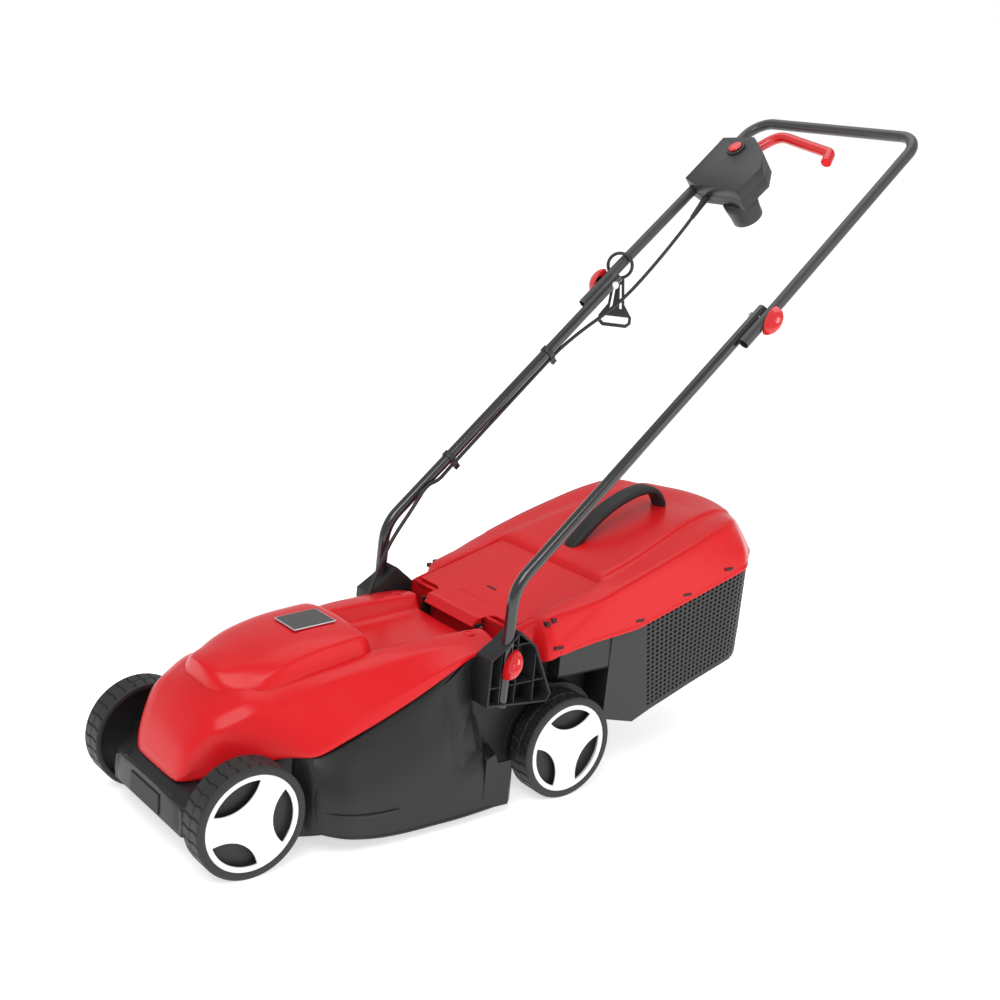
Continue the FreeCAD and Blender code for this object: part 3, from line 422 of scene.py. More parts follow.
def build_deck(s):
    """The skirt, bumper and rear wheel hoods."""
    m = black(s)
    skirt = [
        (88, [(139, 42), (140, 66), (140, 96), (140, 118), (139, 130), (137, 141), (134, 149), (120, 152)]),
        (98, [(160, 41), (162, 60), (161, 90), (157, 112), (152, 127), (146, 140), (138, 150), (120, 153)]),
        (110, [(180, 39), (182, 58), (181, 86), (176, 108), (169, 124), (160, 139), (150, 150), (120, 154)]),
        (140, [(197, 32), (199, 50), (198, 84), (192, 108), (183, 126), (171, 143), (157, 156), (130, 160)]),
        (190, [(201, 22), (202, 42), (201, 82), (196, 110), (187, 131), (174, 152), (160, 172), (140, 176)]),
        (240, [(202, 17.5), (202, 38), (201, 82), (198, 112), (190, 138), (176, 164), (160, 192), (140, 196)]),
        (290, [(202, 16.5), (202, 38), (201, 78), (198, 118), (190, 152), (176, 182), (159, 212), (140, 216)]),
        (325, [(202, 16.5), (202, 38), (201, 78), (194, 122), (184, 160), (170, 194), (156, 226), (140, 230)]),
        (352, [(202, 16.5), (201, 40), (201, 86), (184, 116), (172, 156), (161, 196), (153, 239), (140, 242)]),
        (378, [(201, 17), (200, 42), (199, 95), (173, 114), (159, 146), (153, 190), (150.6, 246), (140, 250)]),
        (396, [(200, 17.4), (199, 42), (197, 101), (166, 117), (153, 140), (150.3, 180), (150, 252), (140, 254)]),
    ]
    skin_side = skin("deck_skirt", skirt, m, [(1, 0.3), (2, 0.25)], thick=2.0, front=False, rear=False)
    bead = [(y, [(x + 1.6, z + 12), (x + 2.6, z + 14), (x + 1.6, z + 16)]) for y, x, z in
            ((104, 168, 60), (122, 190, 57), (150, 200.6, 52), (190, 202, 46), (236, 202.2, 44))]
    bead_line = skin("skirt_bead", bead, m, step=10, level=1, front=False, rear=False)
    rim = [(y, [(x - 3, z), (x + 1.6, z - 1), (x + 2, z + 3.5), (x - 1, z + 5)]) for y, x, z in
           ((112, 181, 38.8), (140, 197, 32), (190, 201, 22), (240, 202, 17.5), (306, 202, 16.5),
            (350, 202, 16.5), (396, 200, 17.4), (440, 197, 18.7))]
    rim_line = skin("skirt_rim", rim, m, step=12, level=1, front=False, rear=False)
    wedges = []
    for side in (-1, 1):
        low = side_prism("wedge", [(392, 17.2), (392, 101), (409, 108), (440, 22), (440, 18.7)],
                         *sorted((side * 193, side * 200)), m, 1.0)
        valley = prism("valley", [(197, 392), (200, 409), (190, 417), (152, 430), (152, 392)],
                       lambda x, y: at(side * x, y, 60), (0, 0, 1), 44, m, 2.0)
        wedges += [low, valley]
    corner = join("skirt_corners", wedges)
    bumper = [
        (-72, [(86, 50), (92, 58), (93, 76), (84, 92), (40, 94), (0, 94)]),
        (-60, [(124, 45), (131, 54), (131, 78), (122, 96), (60, 101), (0, 102)]),
        (-40, [(134, 44), (138.5, 52), (138.5, 84), (132, 103), (80, 110), (0, 112)]),
        (-10, [(136, 44), (139.5, 52), (139.5, 92), (134, 112), (100, 121), (0, 124)]),
        (30, [(136, 44), (139.5, 54), (139.5, 100), (136, 128), (110, 137), (0, 140)]),
        (88, [(136, 43), (140, 58), (140, 112), (138, 138), (120, 150), (0, 152)]),
    ]
    nose = skin("front_bumper", bumper, m, [(1, 0.4), (3, 0.3)], step=10, thick=2.0, rear=False, end_crease=0.5)
    # a near-black block, darker than the deck plastic, sits in the bumper's recess: painted shade inside the recess
    deep = material("painted recess shade", (0.008, 0.008, 0.008), 0.6)
    recess = block("bumper_recess", (-46, -74.2, 52), (46, -71.2, 84), deep, 1.5)
    hoods = []
    for side in (-1, 1):
        outline = []
        for k in range(19):
            angle = math.radians(-4 + 11.4 * k)
            outline.append((WHEELBASE + 94 * math.cos(angle), AXLE_Z + 94 * math.sin(angle)))
        for k in range(18, -1, -1):
            angle = math.radians(-4 + 11.4 * k)
            outline.append((WHEELBASE + 90.5 * math.cos(angle), AXLE_Z + 90.5 * math.sin(angle)))
        x0 = 118 if side > 0 else -150.5
        hoods.append(side_prism("hood", outline, x0, x0 + 32.5, m, 1.0))
    hood = join("rear_wheel_hoods", hoods)
    for obj in (skin_side, bead_line, rim_line, corner, nose, recess, hood):
        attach(obj, "chassis")


def build_lid(s):
    """The grass box's red lid, its slots and the grip."""
    m = red(s)
    lid = [
        (474, [(146.5, 221), (146.5, 230), (146, 258), (143, 271), (131.5, 279), (129.8, 271), (60, 271), (0, 271)]),
        (503, [(146.5, 221), (146.5, 230), (146, 262), (143, 279), (131.5, 287.5), (129.8, 279), (60, 279), (0, 279)]),
        (509, [(148, 222), (148, 231), (147, 264), (143.5, 281), (131.5, 289), (129.8, 281), (60, 281), (0, 281)]),
        (519, [(173, 229), (172, 238), (168, 266), (154, 290.5), (131.5, 292.5), (129.8, 284), (60, 284), (0, 284)]),
        (541, [(177, 238), (177, 247), (172, 273), (156, 299), (131.5, 300.5), (129.8, 290), (60, 290), (0, 290)]),
        (580, [(177, 245), (177, 254), (174.5, 286), (164, 306.5), (131.5, 311), (129.8, 301), (60, 301), (0, 301)]),
        (620, [(177, 250), (177, 259), (176, 294), (174, 316.5), (131.5, 321.5), (129.8, 312), (60, 312), (0, 312)]),
        (649, [(177, 252.5), (177, 261.5), (176.5, 300), (175.5, 326), (131, 332), (129.6, 320), (60, 320), (0, 320)]),
    ]
    crown = [
        (654, [(177, 253), (177, 262), (176.5, 302), (176, 329), (130.5, 333), (127, 334.5), (60, 334), (0, 333)]),
        (702, [(177, 258), (177, 267), (176.5, 311), (176, 345.5), (128.5, 347), (125, 351.5), (60, 351), (0, 350)]),
        (739, [(177, 268), (177, 277), (176.5, 321), (175.5, 357.5), (125, 358), (121.5, 362.5), (60, 362), (0, 361)]),
        (800, [(177, 286), (177, 295), (176, 336), (172, 376.5), (116, 376), (112, 381), (60, 381), (0, 379)]),
        (845, [(177, 299), (177, 308), (175, 347), (167, 390.5), (109, 390), (105, 395), (60, 393), (0, 391)]),
        (885, [(177, 311), (177, 320), (174, 355), (161, 400.5), (104, 400), (100, 405), (60, 401), (0, 397)]),
        (920, [(177, 321), (176, 330), (173, 359), (151, 407), (100, 405.5), (96, 410), (56, 406), (0, 401)]),
        (945, [(175.5, 329), (174.5, 337), (171, 359), (134, 404), (97, 407.5), (93, 411), (56, 410), (0, 406)]),
        (975, [(150, 331), (149, 339), (145, 354), (113, 391), (90, 401), (85, 405), (52, 410), (0, 411)]),
        (995, [(133, 330), (132, 337), (128, 351), (97, 384), (78, 393), (72, 397), (46, 405), (0, 408)]),
        (1030, [(102, 328), (100, 334), (97, 341), (71, 363), (56, 371), (50, 375), (30, 384), (0, 388)]),
        (1045, [(76, 326), (74, 331), (71, 338), (54, 352), (43, 360), (38, 364), (22, 372), (0, 376)]),
        (1052, [(52, 326), (50, 330), (48, 334), (40, 346), (32, 353), (28, 357), (16, 362), (0, 365)]),
    ]
    shell = skin("lid", lid + crown, m, [(1, 0.5), (3, 0.85), (4, 0.45), (5, 0.6)], step=9, thick=2.4,
                 end_crease=0.5)
    rims = [(y, half[0]) for y, half in lid[4:] + crown]
    flange = [(y, [(x + 1.4, z - 0.5), (x + 2.2, z + 3.5), (x - 0.5, z + 7)]) for y, (x, z) in rims]
    lip = skin("lid_lip", flange, m, [(0, 0.4)], step=9, level=1, front=False, rear=True)
    deep = material("shadow gap", (0.05, 0.003, 0.004), 0.7)
    slots = []
    for side in (-1, 1):
        for y, z in ((537, 251), (706, 271), (808, 301), (901, 333)):
            low, high = (side * 175 - 4, y - 9, z - 2.4), (side * 175 + 2.6, y + 9, z + 2.4)
            slots.append(block("slot", low, high, deep, 0.3))
        for y, z in ((523, 288.6), (535, 293)):
            low, high = (side * 158 - 5, y - 4, z - 5), (side * 158 + 5, y + 4, z + 1.4)
            slots.append(block("slot", low, high, deep, 0.3))
    marks = join("lid_slots", slots)
    hollow = prism("grip_hollow", [(-26, 676), (26, 676), (22, 716), (0, 722), (-22, 716)],
                   lambda x, y: at(x, y, 336 + (y - 676) * 0.33), (0, 0, 1), 4, deep, 1.0)
    for obj in (shell, lip, marks, hollow):
        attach(obj, "grass_box")
    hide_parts("grass_box_lid")
    grip_line = [(684, 342, 15), (706, 366, 16), (735, 391, 17), (765, 412, 17), (800, 428, 17), (835, 438, 17),
                 (862, 440, 17), (884, 431, 17), (899, 412, 16), (904, 392, 16)]
    bm = bmesh.new()
    rings = []
    for k, (y, z, half) in enumerate(grip_line):
        before = grip_line[max(k - 1, 0)]
        after = grip_line[min(k + 1, len(grip_line) - 1)]
        way = Vector((0, after[0] - before[0], after[1] - before[1])).normalized()
        up = Vector((1, 0, 0)).cross(way)
        ring = []
        for j in range(12):
            a = 2 * math.pi * j / 12
            cx, cz = math.cos(a), math.sin(a)
            px = half * math.copysign(abs(cx) ** 0.6, cx)
            pz = 8 * math.copysign(abs(cz) ** 0.7, cz) - 7
            ring.append(bm.verts.new(at(px, y, z) + up * pz * 0.001))
        rings.append(ring)
    for a, b in zip(rings, rings[1:]):
        for j in range(12):
            bm.faces.new((a[j], a[(j + 1) % 12], b[(j + 1) % 12], b[j]))
    bm.faces.new(rings[0][::-1])
    bm.faces.new(rings[-1])
    grip = finish_mesh("box_grip", bm, dark(s))
    modifier(grip, "SUBSURF", levels=2, render_levels=2)
    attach(grip, "grass_box")
    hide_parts("grass_box_grip")


def build_tub(s):
    """The grass box's tub and its grille."""
    m = material("tub plastic", s.dark, 0.5, grain=1400, depth=0.2)
    path = [(168, 655), (169, 700), (170, 722), (170, 925), (168, 945), (160, 960), (148, 973),
            (100, 1029), (82, 1040), (50, 1045), (0, 1046)]
    path = path + [(-x, y) for x, y in path[-2::-1]]
    floor = [(655, 106), (724, 88), (762, 104), (850, 134), (950, 165), (1050, 195)]
    edge = [(655, 256), (702, 262), (739, 273), (949, 334), (1050, 330)]
    lengths = [0.0]
    for a, b in zip(path, path[1:]):
        lengths.append(lengths[-1] + math.hypot(b[0] - a[0], b[1] - a[1]))

    def wall_point(u, v, inner=0.0):
        k = 0
        while k < len(path) - 2 and u > lengths[k + 1]:
            k += 1
        t = (u - lengths[k]) / (lengths[k + 1] - lengths[k])
        x = path[k][0] + (path[k + 1][0] - path[k][0]) * t
        y = path[k][1] + (path[k + 1][1] - path[k][1]) * t
        y += (1 - v) * 28 * min((y - 655) / 67, max(0, 1 - (y - 722) / 210)) if y > 655 else 0
        low, high = straight(floor, y), straight(edge, y)
        shrink = 1 - 0.02 * (1 - v) - inner / 168
        return at(x * shrink, 655 + (y - 655) * (1 - inner / 380), low + (high - low) * v)

    start = lengths[2] + 2
    stop = lengths[-1] - start
    columns = [0, 12, 24, 36, lengths[1], 58, lengths[2] - 4, start]
    pitch = 10.2
    count = round((stop - start) / pitch)
    columns += [start + (stop - start) * k / count for k in range(1, count + 1)]
    columns += [lengths[-1] - c for c in reversed(columns[:7])]
    rows = 21
    bm = bmesh.new()
    verts = {}
    for i, u in enumerate(columns):
        for j in range(rows + 1):
            verts[i, j] = bm.verts.new(wall_point(u, j / rows))
    for i in range(len(columns) - 1):
        for j in range(rows):
            corners = [verts[i, j], verts[i + 1, j], verts[i + 1, j + 1], verts[i, j + 1]]
            holed = start - 0.1 <= columns[i] < stop - 0.1 and 0 < j < rows - 1
            if not holed:
                bm.faces.new(corners)
                continue
            middle = sum((c.co for c in corners), Vector()) / 4
            inner = [bm.verts.new(middle + (c.co - middle) * 0.56) for c in corners]
            for k in range(4):
                bm.faces.new((corners[k], corners[(k + 1) % 4], inner[(k + 1) % 4], inner[k]))
    wall = finish_mesh("tub_wall", bm, m, smooth=False)
    modifier(wall, "SOLIDIFY", thickness=0.0022, offset=1.0)
    bm = bmesh.new()
    lined = {(i, j): bm.verts.new(wall_point(u, j / 4, 4.5)) for i, u in enumerate(columns) for j in range(5)}
    for i in range(len(columns) - 1):
        for j in range(4):
            bm.faces.new((lined[i, j], lined[i + 1, j], lined[i + 1, j + 1], lined[i, j + 1]))
    liner = finish_mesh("tub_liner", bm, material("grille shadow", (0.006, 0.006, 0.006), 0.8), smooth=False)
    bm = bmesh.new()
    half_width = [(655, 168), (800, 170), (944, 169), (973, 148), (1029, 100), (1040, 82), (1045, 50)]
    prior = None
    for y in (655, 700, 724, 762, 800, 850, 900, 944, 973, 1001, 1029, 1040, 1045):
        x = straight(half_width, y) * 0.98
        z = straight(floor, y)
        pair = (bm.verts.new(at(x, y, z)), bm.verts.new(at(-x, y, z)))
        if prior:
            bm.faces.new((prior[0], prior[1], pair[1], pair[0]))
        prior = pair
    floor_plate = finish_mesh("tub_floor", bm, m, smooth=False)
    modifier(floor_plate, "SOLIDIFY", thickness=0.0025, offset=-1.0)
    low_front = [(470, 104), (658, 104), (658, 196), (470, 196)]
    sides = [side_prism("tub_neck", low_front, x, x + 2.5, m, 0.4) for x in (-112, 109.5)]
    sides.append(block("tub_neck_floor", (-112, 470, 103), (112, 658, 105.5), m, 0.4))
    for side in (-1, 1):
        x0, x1 = sorted((side * 110, side * 141))
        sides.append(block("tub_shelf", (x0, 470, 195.5), (x1, 658, 198), m, 0.4))
        x0, x1 = sorted((side * 139, side * 168))
        sides.append(block("tub_shelf", (x0, 547, 195.5), (x1, 658, 198), m, 0.4))
        x0, x1 = sorted((side * 138.5, side * 141))
        sides.append(block("tub_side", (x0, 470, 196), (x1, 550, 224), m, 0.4))
        x0, x1 = sorted((side * 165.5, side * 168))
        cheek = [(547, 196), (660, 196), (660, 254), (600, 248), (547, 240)]
        sides.append(side_prism("tub_side", cheek, x0, x1, m, 0.4))
        x0, x1 = sorted((side * 140, side * 168))
        sides.append(block("tub_side", (x0, 547, 196), (x1, 549.5, 240), m, 0.4))
        x0, x1 = sorted((side * 110, side * 167))
        sides.append(block("tub_front", (x0, 655.5, 106), (x1, 658, 198), m, 0.4))
    neck = join("tub_neck", sides)
    for obj in (wall, liner, floor_plate, neck):
        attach(obj, "grass_box")
    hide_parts("grass_box_tub")


def build_flap(s):
    """The rear flap with its hinge knuckles."""
    m = red(s)
    outline = [(-68, 457), (68, 457), (69, 478), (80, 484), (128.5, 484), (128.5, 651), (-128.5, 651),
               (-128.5, 484), (-80, 484), (-69, 478)]
    slope = 48.0 / 172.0

    def place(x, y):
        return at(x, y, 279 - 3.5 + (y - 480) * slope if y > 480 else 272.4 + (y - 457) * 0.13)

    panel = prism("flap_panel", outline, place, (0, 0, 1), 3.5, m, 1.1)
    label = prism("flap_label", [(-44, 500), (44, 500), (44, 572), (-44, 572)],
                  lambda x, y: at(x, y, 279 + (y - 480) * slope - 2.4), (0, 0, 1), 3.0, m, 0.9)
    deep = material("shadow gap", (0.05, 0.003, 0.004), 0.7)
    mark = prism("flap_mark", [(-12, 532), (12, 532), (12, 536), (-12, 536)],
                 lambda x, y: at(x, y, 279 + (y - 480) * slope - 1.0), (0, 0, 1), 2.0, deep, 0.2)
    knuckles = [lathe("knuckle", [(0, 0.01), (0, 6), (20, 6), (20, 0.01)], at(x, 459.5, 262), (1, 0, 0), m, 32)
                for x in (-68, -10, 48)]
    knuckles += [block("web", (x, 455, 262), (x + 20, 464, 274), m, 0.3) for x in (-68, -10, 48)]
    curl = [(447.5, 262), (456, 275.5), (460, 276.6), (470, 277), (470, 273), (459.5, 271), (451, 260.5)]
    tongue = side_prism("flap_tongue", curl, -66, 66, m, 1.3)
    hinge = join("flap_knuckles", knuckles)
    for obj in (panel, label, mark, hinge, tongue):
        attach(obj, "flap")
    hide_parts("rear_flap")


def tread(d, r, angle):
    """The tyre's radius with its bars and zigzag sipes."""
    if not 3.0 <= d <= 42.0 or r < 84:
        return r
    turns = 30
    phase = (angle * turns / (2 * math.pi)) % 1.0
    zig = 0.16 * abs(((d / 13.0) % 2.0) - 1.0)
    groove = abs(((phase + zig) % 1.0) - 0.5) > 0.43
    centre = abs(d - 22.5) < 1.4
    return r - 1.9 if groove or centre else r


def build_wheels(s):
    """Tyres with tread, and the white rims and hubs."""
    tyre_black = material("tyre plastic", s.black, 0.55, grain=1500, depth=0.3)
    white = material("white plastic", s.white, 0.3, grain=900, depth=0.03)
    for name, side, face, y in (("front_left", 1, 186.5, 0.0), ("front_right", -1, 186.5, 0.0),
                                ("rear_left", 1, 197.6, WHEELBASE), ("rear_right", -1, 197.6, WHEELBASE)):
        profile = [(0.2, 72.9), (0.0, 76), (0.0, 81.5), (0.8, 83.4), (2.4, 84.7), (3.0, 85)]
        profile += [(3.0 + 1.5 * k, 85) for k in range(1, 27)]
        profile += [(42.6, 84.7), (44.4, 83.2), (45, 81), (45, 77.5), (44, 76.4), (16, 75.2), (16, 15), (43, 13),
                    (43, 5.06), (6, 5.06), (6, 14), (12, 17), (12, 72.9), (0.2, 72.9)]
        centre = at(side * face, y, AXLE_Z)
        body = "wheel_" + name + "_body"
        tyre = lathe("tyre_" + name, profile, centre, (-side, 0, 0), tyre_black, 360, tread)
        modifier(tyre, "EDGE_SPLIT", split_angle=math.radians(32))
        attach(tyre, body)
        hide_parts("wheel_" + name)
        rim_edge = [(3.6, 65.2), (1.2, 64.9), (0.5, 65.6), (0.2, 67.0), (0.2, 71.2), (0.8, 72.3), (2, 72.7), (6, 72.7)]
        hub_edge = [(1.4, 13.2), (0.6, 13.0), (0.35, 12.0), (0.35, 11.2), (0.95, 10.6), (0.95, 0.01)]
        ring = lathe("cover_rim_" + name, rim_edge, centre, (-side, 0, 0), white, 128)
        hub = lathe("cover_hub_" + name, hub_edge, centre, (-side, 0, 0), white, 64)
        for obj in (ring, hub):
            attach(obj, body)


def wing_knob(name, place, direction, m):
    """A half-disc wing on a round boss, out along X."""
    bm = bmesh.new()
    out = Vector((direction, 0, 0))
    span = Vector((0, math.cos(KNOB_ANGLE), math.sin(KNOB_ANGLE)))
    bmesh.ops.create_uvsphere(bm, u_segments=40, v_segments=24, radius=1.0)
    across = out.cross(span)
    for vert in bm.verts:
        a, b, c = vert.co
        reach = math.hypot(a, b)
        flat = 11.0 * math.copysign(abs(c) ** 0.75, c) * (1 - 0.3 * reach * reach)
        outward = max(25 * a, 0.0)
        vert.co = place + (out * outward + span * 25 * b + across * flat) * 0.001
    wing = finish_mesh("wing", bm, m)
    boss = lathe("boss", [(0, 4.2), (0, 10.2), (9, 9.6), (17, 8.4), (19, 6.8), (19.4, 4.2)], place, out, m, 40)
    return join(name, [wing, boss])


def build_handle(s):
    """Tube, bracket and bolt finishes, and the wing knobs."""
    lower_paint = material("black gloss paint", s.lower_tube, 0.2, coat=0.6, grain=500, depth=0.02, spread=0.03)
    upper_paint = material("grey satin paint", s.upper_tube, 0.38, coat=0.2, grain=1800, depth=0.08)
    knob = material("red gloss knob", s.red, 0.16, coat=0.6, grain=500, depth=0.0, spread=0.02)
    bright = material("bright zinc", (0.86, 0.87, 0.88), 0.25, metallic=0.6, depth=0.0)
    nodes = frame["nodes"]
    finishes = {"lower_tube_left": lower_paint, "lower_tube_right": lower_paint, "upper_tube": upper_paint,
                "upper_bolts": bright, "lower_bolts": bright, "handle_bracket_left": dark(s),
                "handle_bracket_right": dark(s)}
    for node, m in finishes.items():
        paint(nodes[node], m, 0.9 if "bracket" in node else 0.0)
    for end, y, z, x in (("upper", FOLD_Y, FOLD_Z, 205.3), ("lower", 431.5, 246.0, 187.5)):
        for side, sign in (("left", 1), ("right", -1)):
            node = end + "_wing_knob_" + side
            obj = wing_knob("knob_" + end + "_" + side, at(sign * x, y, z), sign, knob)
            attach(obj, node + "_body")
            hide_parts(node)


def paint(node, m, bevel=0.0):
    """Gives a CAD node a finish and softened edges."""
    node.data.materials.clear()
    node.data.materials.append(m)
    modifier(node, "WELD", merge_threshold=0.00002)
    if bevel:
        rounded(node, bevel, 2, harden=False)
    node.data.polygons.foreach_set("use_smooth", [True] * len(node.data.polygons))
    modifier(node, "EDGE_SPLIT", split_angle=math.radians(38))


def build_switch(s):
    """The switch box, its button, lever and inlet."""
    m = material("switch plastic", s.dark, 0.42, grain=1300, depth=0.15)
    lever_red = material("red satin lever", s.red, 0.28, coat=0.3, grain=900, depth=0.03)
    nodes = frame["nodes"]
    for node in ("switch_box_top", "switch_box_bottom"):
        paint(nodes[node], m, 1.6)
    for node in ("cable_relief", "cable_clips", "cord_hook"):
        paint(nodes[node], m, 0.5)
    place = on_handle(-151, 352, 22)
    collar = lathe("button_collar", [(-0.4, 13.6), (3.2, 13.6), (3.8, 14.2), (3.8, 15.4), (2.8, 17), (-0.4, 18.2),
                                     (-0.4, 13.6)], place, NORMAL, m, 56)
    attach(collar, "upper_handle")
    cap = lathe("button_cap", [(-2, 0.01), (-2, 8.6), (4.4, 8.6), (4.4, 12.6), (5.2, 13), (6.0, 12.4), (6.6, 10),
                               (6.8, 5), (6.8, 0.01)], place, NORMAL, lever_red, 56)
    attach(cap, "button")
    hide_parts("safety_button")
    skirt = lathe("inlet_skirt", [(3, 0.01), (3, 24), (42, 24), (44, 24.6), (44, 27.4), (43, 28), (30, 28.4),
                                  (12, 30.8), (1, 31.5), (1, 0.01)], on_handle(-98, 272, -21.2), -NORMAL, m, 72)
    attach(skirt, "upper_handle")
    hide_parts("inlet_shroud")
    points = [on_handle(-146, 360), on_handle(-132, 384), on_handle(-117, 410), on_handle(-98, 419),
              on_handle(-60, 410), on_handle(20, 393), on_handle(33, 390), on_handle(38, 378), on_handle(42, 366)]
    lever = cable_curve("lever_bar", points, 9.6, lever_red)
    boss = lathe("boss", [(-8, 4.06), (-8, 11), (8, 11), (8, 4.06)], on_handle(-146, 360), NORMAL, lever_red, 40)
    lever = join("lever_bar", [lever, boss])
    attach(lever, "lever")
    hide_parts("switch_lever")


def build_cable(s):
    """The supply cable, which bends at the fold."""
    m = material("cable black", s.black, 0.45, grain=1800, depth=0.1)
    under = -(9.5 + 3.2 + 0.4)  # below the tube: its radius, the cable's radius and a gap
    start = on_handle(-155, 263.6, -6)
    points = [start, on_handle(-155, 248, -8), on_handle(-152.6, 190, -15), on_handle(-154, 150, -20),
              on_handle(-157, 110, -26), on_handle(-161, 50, -32), on_handle(-163.5, 0, -33),
              on_handle(-166, -50, -27), on_handle(-169, -100, -18), on_handle(-172, -140, under - 1),
              on_handle(-173.7, -165, under), on_handle(-173.6, -200, under), on_handle(-172.5, -300, under),
              on_handle(-171, -420, under), on_handle(-170.5, -458, under), on_handle(-163, -484, -9),
              on_handle(-158.5, -508, 6), on_handle(-158, -548, -4.7), at(-156, 440, 346), at(-151, 416, 308),
              at(-143, 391, 262), at(-132, 372, 226), at(-112, 344, 212), at(-90, 310, 206)]
    cable = cable_curve("supply_cable", points, 3.2, m)
    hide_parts("cable_upper", "cable_fold", "cable_lower")
    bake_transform(cable)


def build_fittings(s):
    """Finishes for the CAD pieces that show as they are."""
    nodes = frame["nodes"]
    metal = steel()
    painted = material("blade paint", (0.03, 0.03, 0.032), 0.35, metallic=0.3)
    for node in ("front_axle", "rear_axle", "axle_push_nuts", "motor_shaft", "lever_pivot_pin", "flap_hinge_rod",
                 "button_spring", "lever_spring", "flap_springs", "blade_washer", "bracket_screws", "cover_screws",
                 "motor_screws", "blade_bolt", "motor_can", "motor_stator", "motor_bearings"):
        paint(nodes[node], metal)
    paint(nodes["blade"], painted, 0.4)
    paint(nodes["blade_carrier"], material("cast alloy", (0.5, 0.5, 0.5), 0.5, metallic=1.0), 0.5)
    paint(nodes["motor_brushes"], material("carbon", (0.03, 0.03, 0.03), 0.8))
    paint(nodes["inlet_pins"], material("brass", (0.75, 0.55, 0.25), 0.25, metallic=1.0))
    paint(nodes["switch_module"], black(s))
    paint(nodes["deck"], black(s))
    white = material("white plastic", s.white, 0.3, grain=900, depth=0.03)
    for corner in ("front_left", "front_right", "rear_left", "rear_right"):
        paint(nodes["wheel_cover_" + corner], white, 0.5)


def build_stage(s):
    """The floor, lights and camera."""
    floor_mat = material("studio floor", (0.9, 0.9, 0.9), 0.9, depth=0.0)
    shader = floor_mat.node_tree.nodes["Principled BSDF"]
    shader.inputs["Emission Color"].default_value = (1, 1, 1, 1)
    shader.inputs["Emission Strength"].default_value = 0.62
    bm = bmesh.new()
    bmesh.ops.create_grid(bm, x_segments=1, y_segments=1, size=30)
    floor = finish_mesh("studio_floor", bm, floor_mat, smooth=False)
    world = bpy.context.scene.world or bpy.data.worlds.new("World")
    bpy.context.scene.world = world
    world.use_nodes = True
    nodes, link = world.node_tree.nodes, world.node_tree.links.new
    nodes["Background"].inputs["Color"].default_value = (1, 1, 1, 1)
    rays, strength = nodes.new("ShaderNodeLightPath"), nodes.new("ShaderNodeMapRange")
    strength.inputs["To Min"].default_value = s.sky
    strength.inputs["To Max"].default_value = 1.0
    link(rays.outputs["Is Camera Ray"], strength.inputs["Value"])
    link(strength.outputs["Result"], nodes["Background"].inputs["Strength"])
    for name, place, target, size, power in (("key", (1.6, -1.9, 2.7), (0, 0, 0.3), 1.6, s.key),
                                             ("fill", (2.6, 1.2, 1.4), (0, 0.1, 0.4), 1.8, s.key * 0.35),
                                             ("top", (-0.6, 0.6, 3.0), (0, 0, 0.3), 2.2, s.key * 0.5)):
        data = bpy.data.lights.new(name, "AREA")
        data.size = size
        data.energy = power
        lamp = bpy.data.objects.new(name, data)
        lamp.location = place
        way = Vector(target) - Vector(place)
        lamp.rotation_euler = way.to_track_quat("-Z", "Y").to_euler()
        bpy.context.scene.collection.objects.link(lamp)
    azimuth, elevation, roll, distance = (math.radians(51.61), math.radians(15.25), math.radians(4.83), 2.4418)
    back_way = Vector((math.sin(azimuth) * math.cos(elevation), -math.cos(azimuth) * math.cos(elevation),
                       math.sin(elevation)))
    target = at(0.5, 500.6, 447.6)
    forward = -back_way
    right = forward.cross(Vector((0, 0, 1))).normalized()
    up = right.cross(forward)
    turned = right * math.cos(roll) + up * math.sin(roll)
    up = up * math.cos(roll) - right * math.sin(roll)
    data = bpy.data.cameras.new("camera")
    data.lens = 55.02
    data.sensor_width = 36.0
    data.shift_x = 0.017
    camera = bpy.data.objects.new("camera", data)
    rows = Matrix((turned, up, back_way)).transposed().to_4x4()
    camera.matrix_world = Matrix.Translation(target + back_way * distance) @ rows
    bpy.context.scene.collection.objects.link(camera)
    bpy.context.scene.camera = camera
    bpy.context.scene.view_settings.view_transform = "Standard"


# ---- add-on -------------------------------------------------------------------------
def colour(name, description, value):
    return bpy.props.FloatVectorProperty(name=name, description=description, subtype="COLOR", size=3,
                                         min=0.0, max=1.0, default=value)


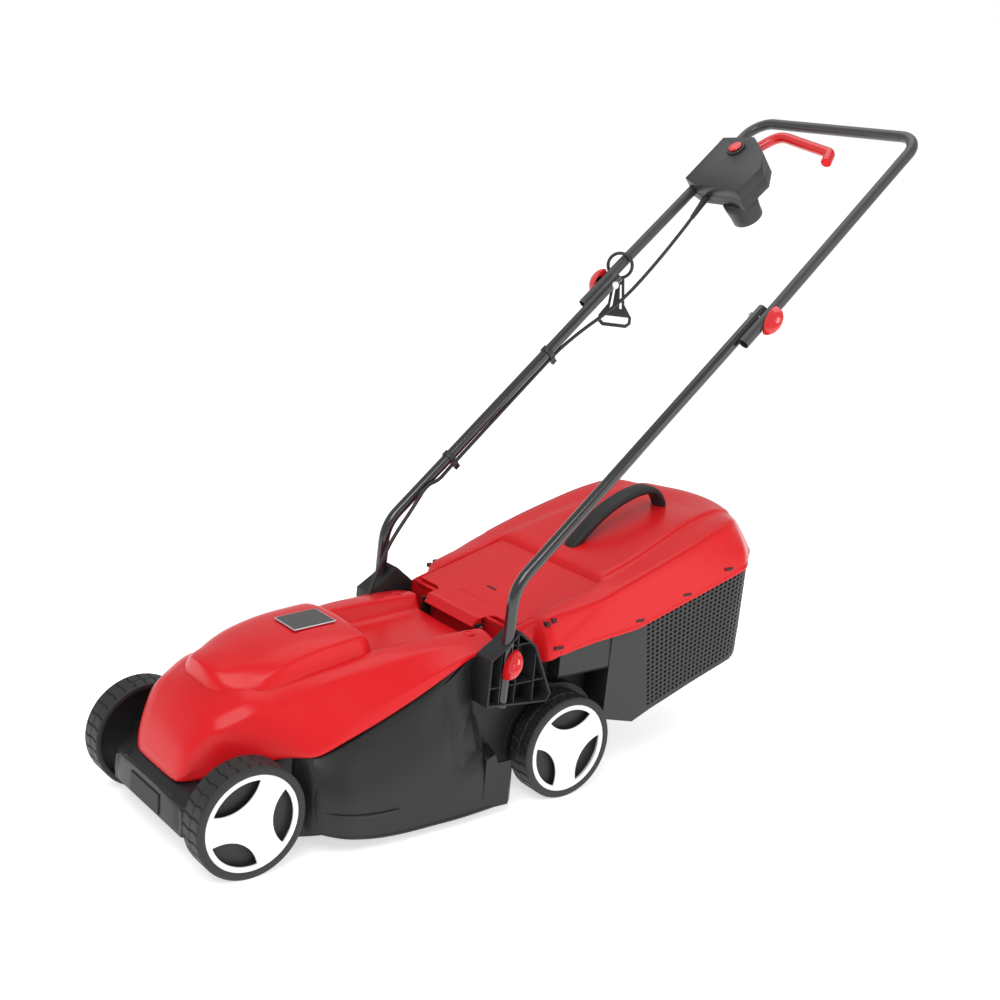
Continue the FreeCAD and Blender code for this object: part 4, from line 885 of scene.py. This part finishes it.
class MowerSettings(bpy.types.PropertyGroup):
    """Colours and light of the mower."""
    red: colour("Red", "Covers, lid and flap", (0.64, 0.009, 0.013))
    black: colour("Black", "Deck and tyres", (0.011, 0.011, 0.0115))
    dark: colour("Dark grey", "Brackets, tub and switch box", (0.017, 0.017, 0.018))
    white: colour("White", "Wheel covers", (0.84, 0.87, 0.9))
    lower_tube: colour("Lower tube", "Paint of the lower tubes", (0.012, 0.012, 0.013))
    upper_tube: colour("Upper tube", "Paint of the upper tube", (0.035, 0.036, 0.04))
    sky: bpy.props.FloatProperty(name="Sky", description="Strength of the surrounding light", default=0.6,
                                 min=0.0, max=5.0)
    key: bpy.props.FloatProperty(name="Key light", description="Power of the main light", default=42.0,
                                 min=0.0, max=2000.0, unit="POWER")


def operator(identifier, label, text, build):
    def execute(self, context):
        build(context.scene.mower)
        return {"FINISHED"}
    return type("MOWER_OT_" + identifier, (bpy.types.Operator,),
                {"bl_idname": "mower." + identifier, "bl_label": label, "__doc__": text, "execute": execute})


OPERATORS = [
    operator("fittings", "Fittings", "Finishes of the CAD pieces that show.", build_fittings),
    operator("cover", "Motor cover", "Red cover with its bulge, recess and badge plate.", build_cover),
    operator("deck", "Deck", "Black skirt, bumper and wheel hoods.", build_deck),
    operator("lid", "Grass box lid", "Red lid with slots and the grip.", build_lid),
    operator("tub", "Grass box tub", "Tub with its grille.", build_tub),
    operator("flap", "Rear flap", "Flap with its label recess and knuckles.", build_flap),
    operator("wheels", "Wheels", "Tyres with tread and white rims.", build_wheels),
    operator("handle", "Handle", "Tubes, brackets, bolts and wing knobs.", build_handle),
    operator("switch", "Switch box", "Switch box, button, lever, inlet and hook.", build_switch),
    operator("cable", "Cable", "Supply cable along the right-hand tubes.", build_cable),
    operator("stage", "Stage", "Camera, lights and floor.", build_stage),
]


class MOWER_PT_panel(bpy.types.Panel):
    """Sidebar panel with the settings and one button for each piece."""
    bl_label = "Mower"
    bl_idname = "MOWER_PT_panel"
    bl_space_type = "VIEW_3D"
    bl_region_type = "UI"
    bl_category = "Mower"

    def draw(self, context):
        for key in MowerSettings.__annotations__:
            self.layout.prop(context.scene.mower, key)
        for item in OPERATORS:
            self.layout.operator(item.bl_idname)


def register():
    for item in [MowerSettings] + OPERATORS + [MOWER_PT_panel]:
        bpy.utils.register_class(item)
    bpy.types.Scene.mower = bpy.props.PointerProperty(type=MowerSettings)


def unregister():
    del bpy.types.Scene.mower
    for item in reversed([MowerSettings] + OPERATORS + [MOWER_PT_panel]):
        bpy.utils.unregister_class(item)


def main():
    register()
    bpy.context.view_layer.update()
    for item in OPERATORS:
        getattr(bpy.ops.mower, item.bl_idname.split(".")[1])()
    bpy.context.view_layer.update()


if __name__ == "__main__":
    main()
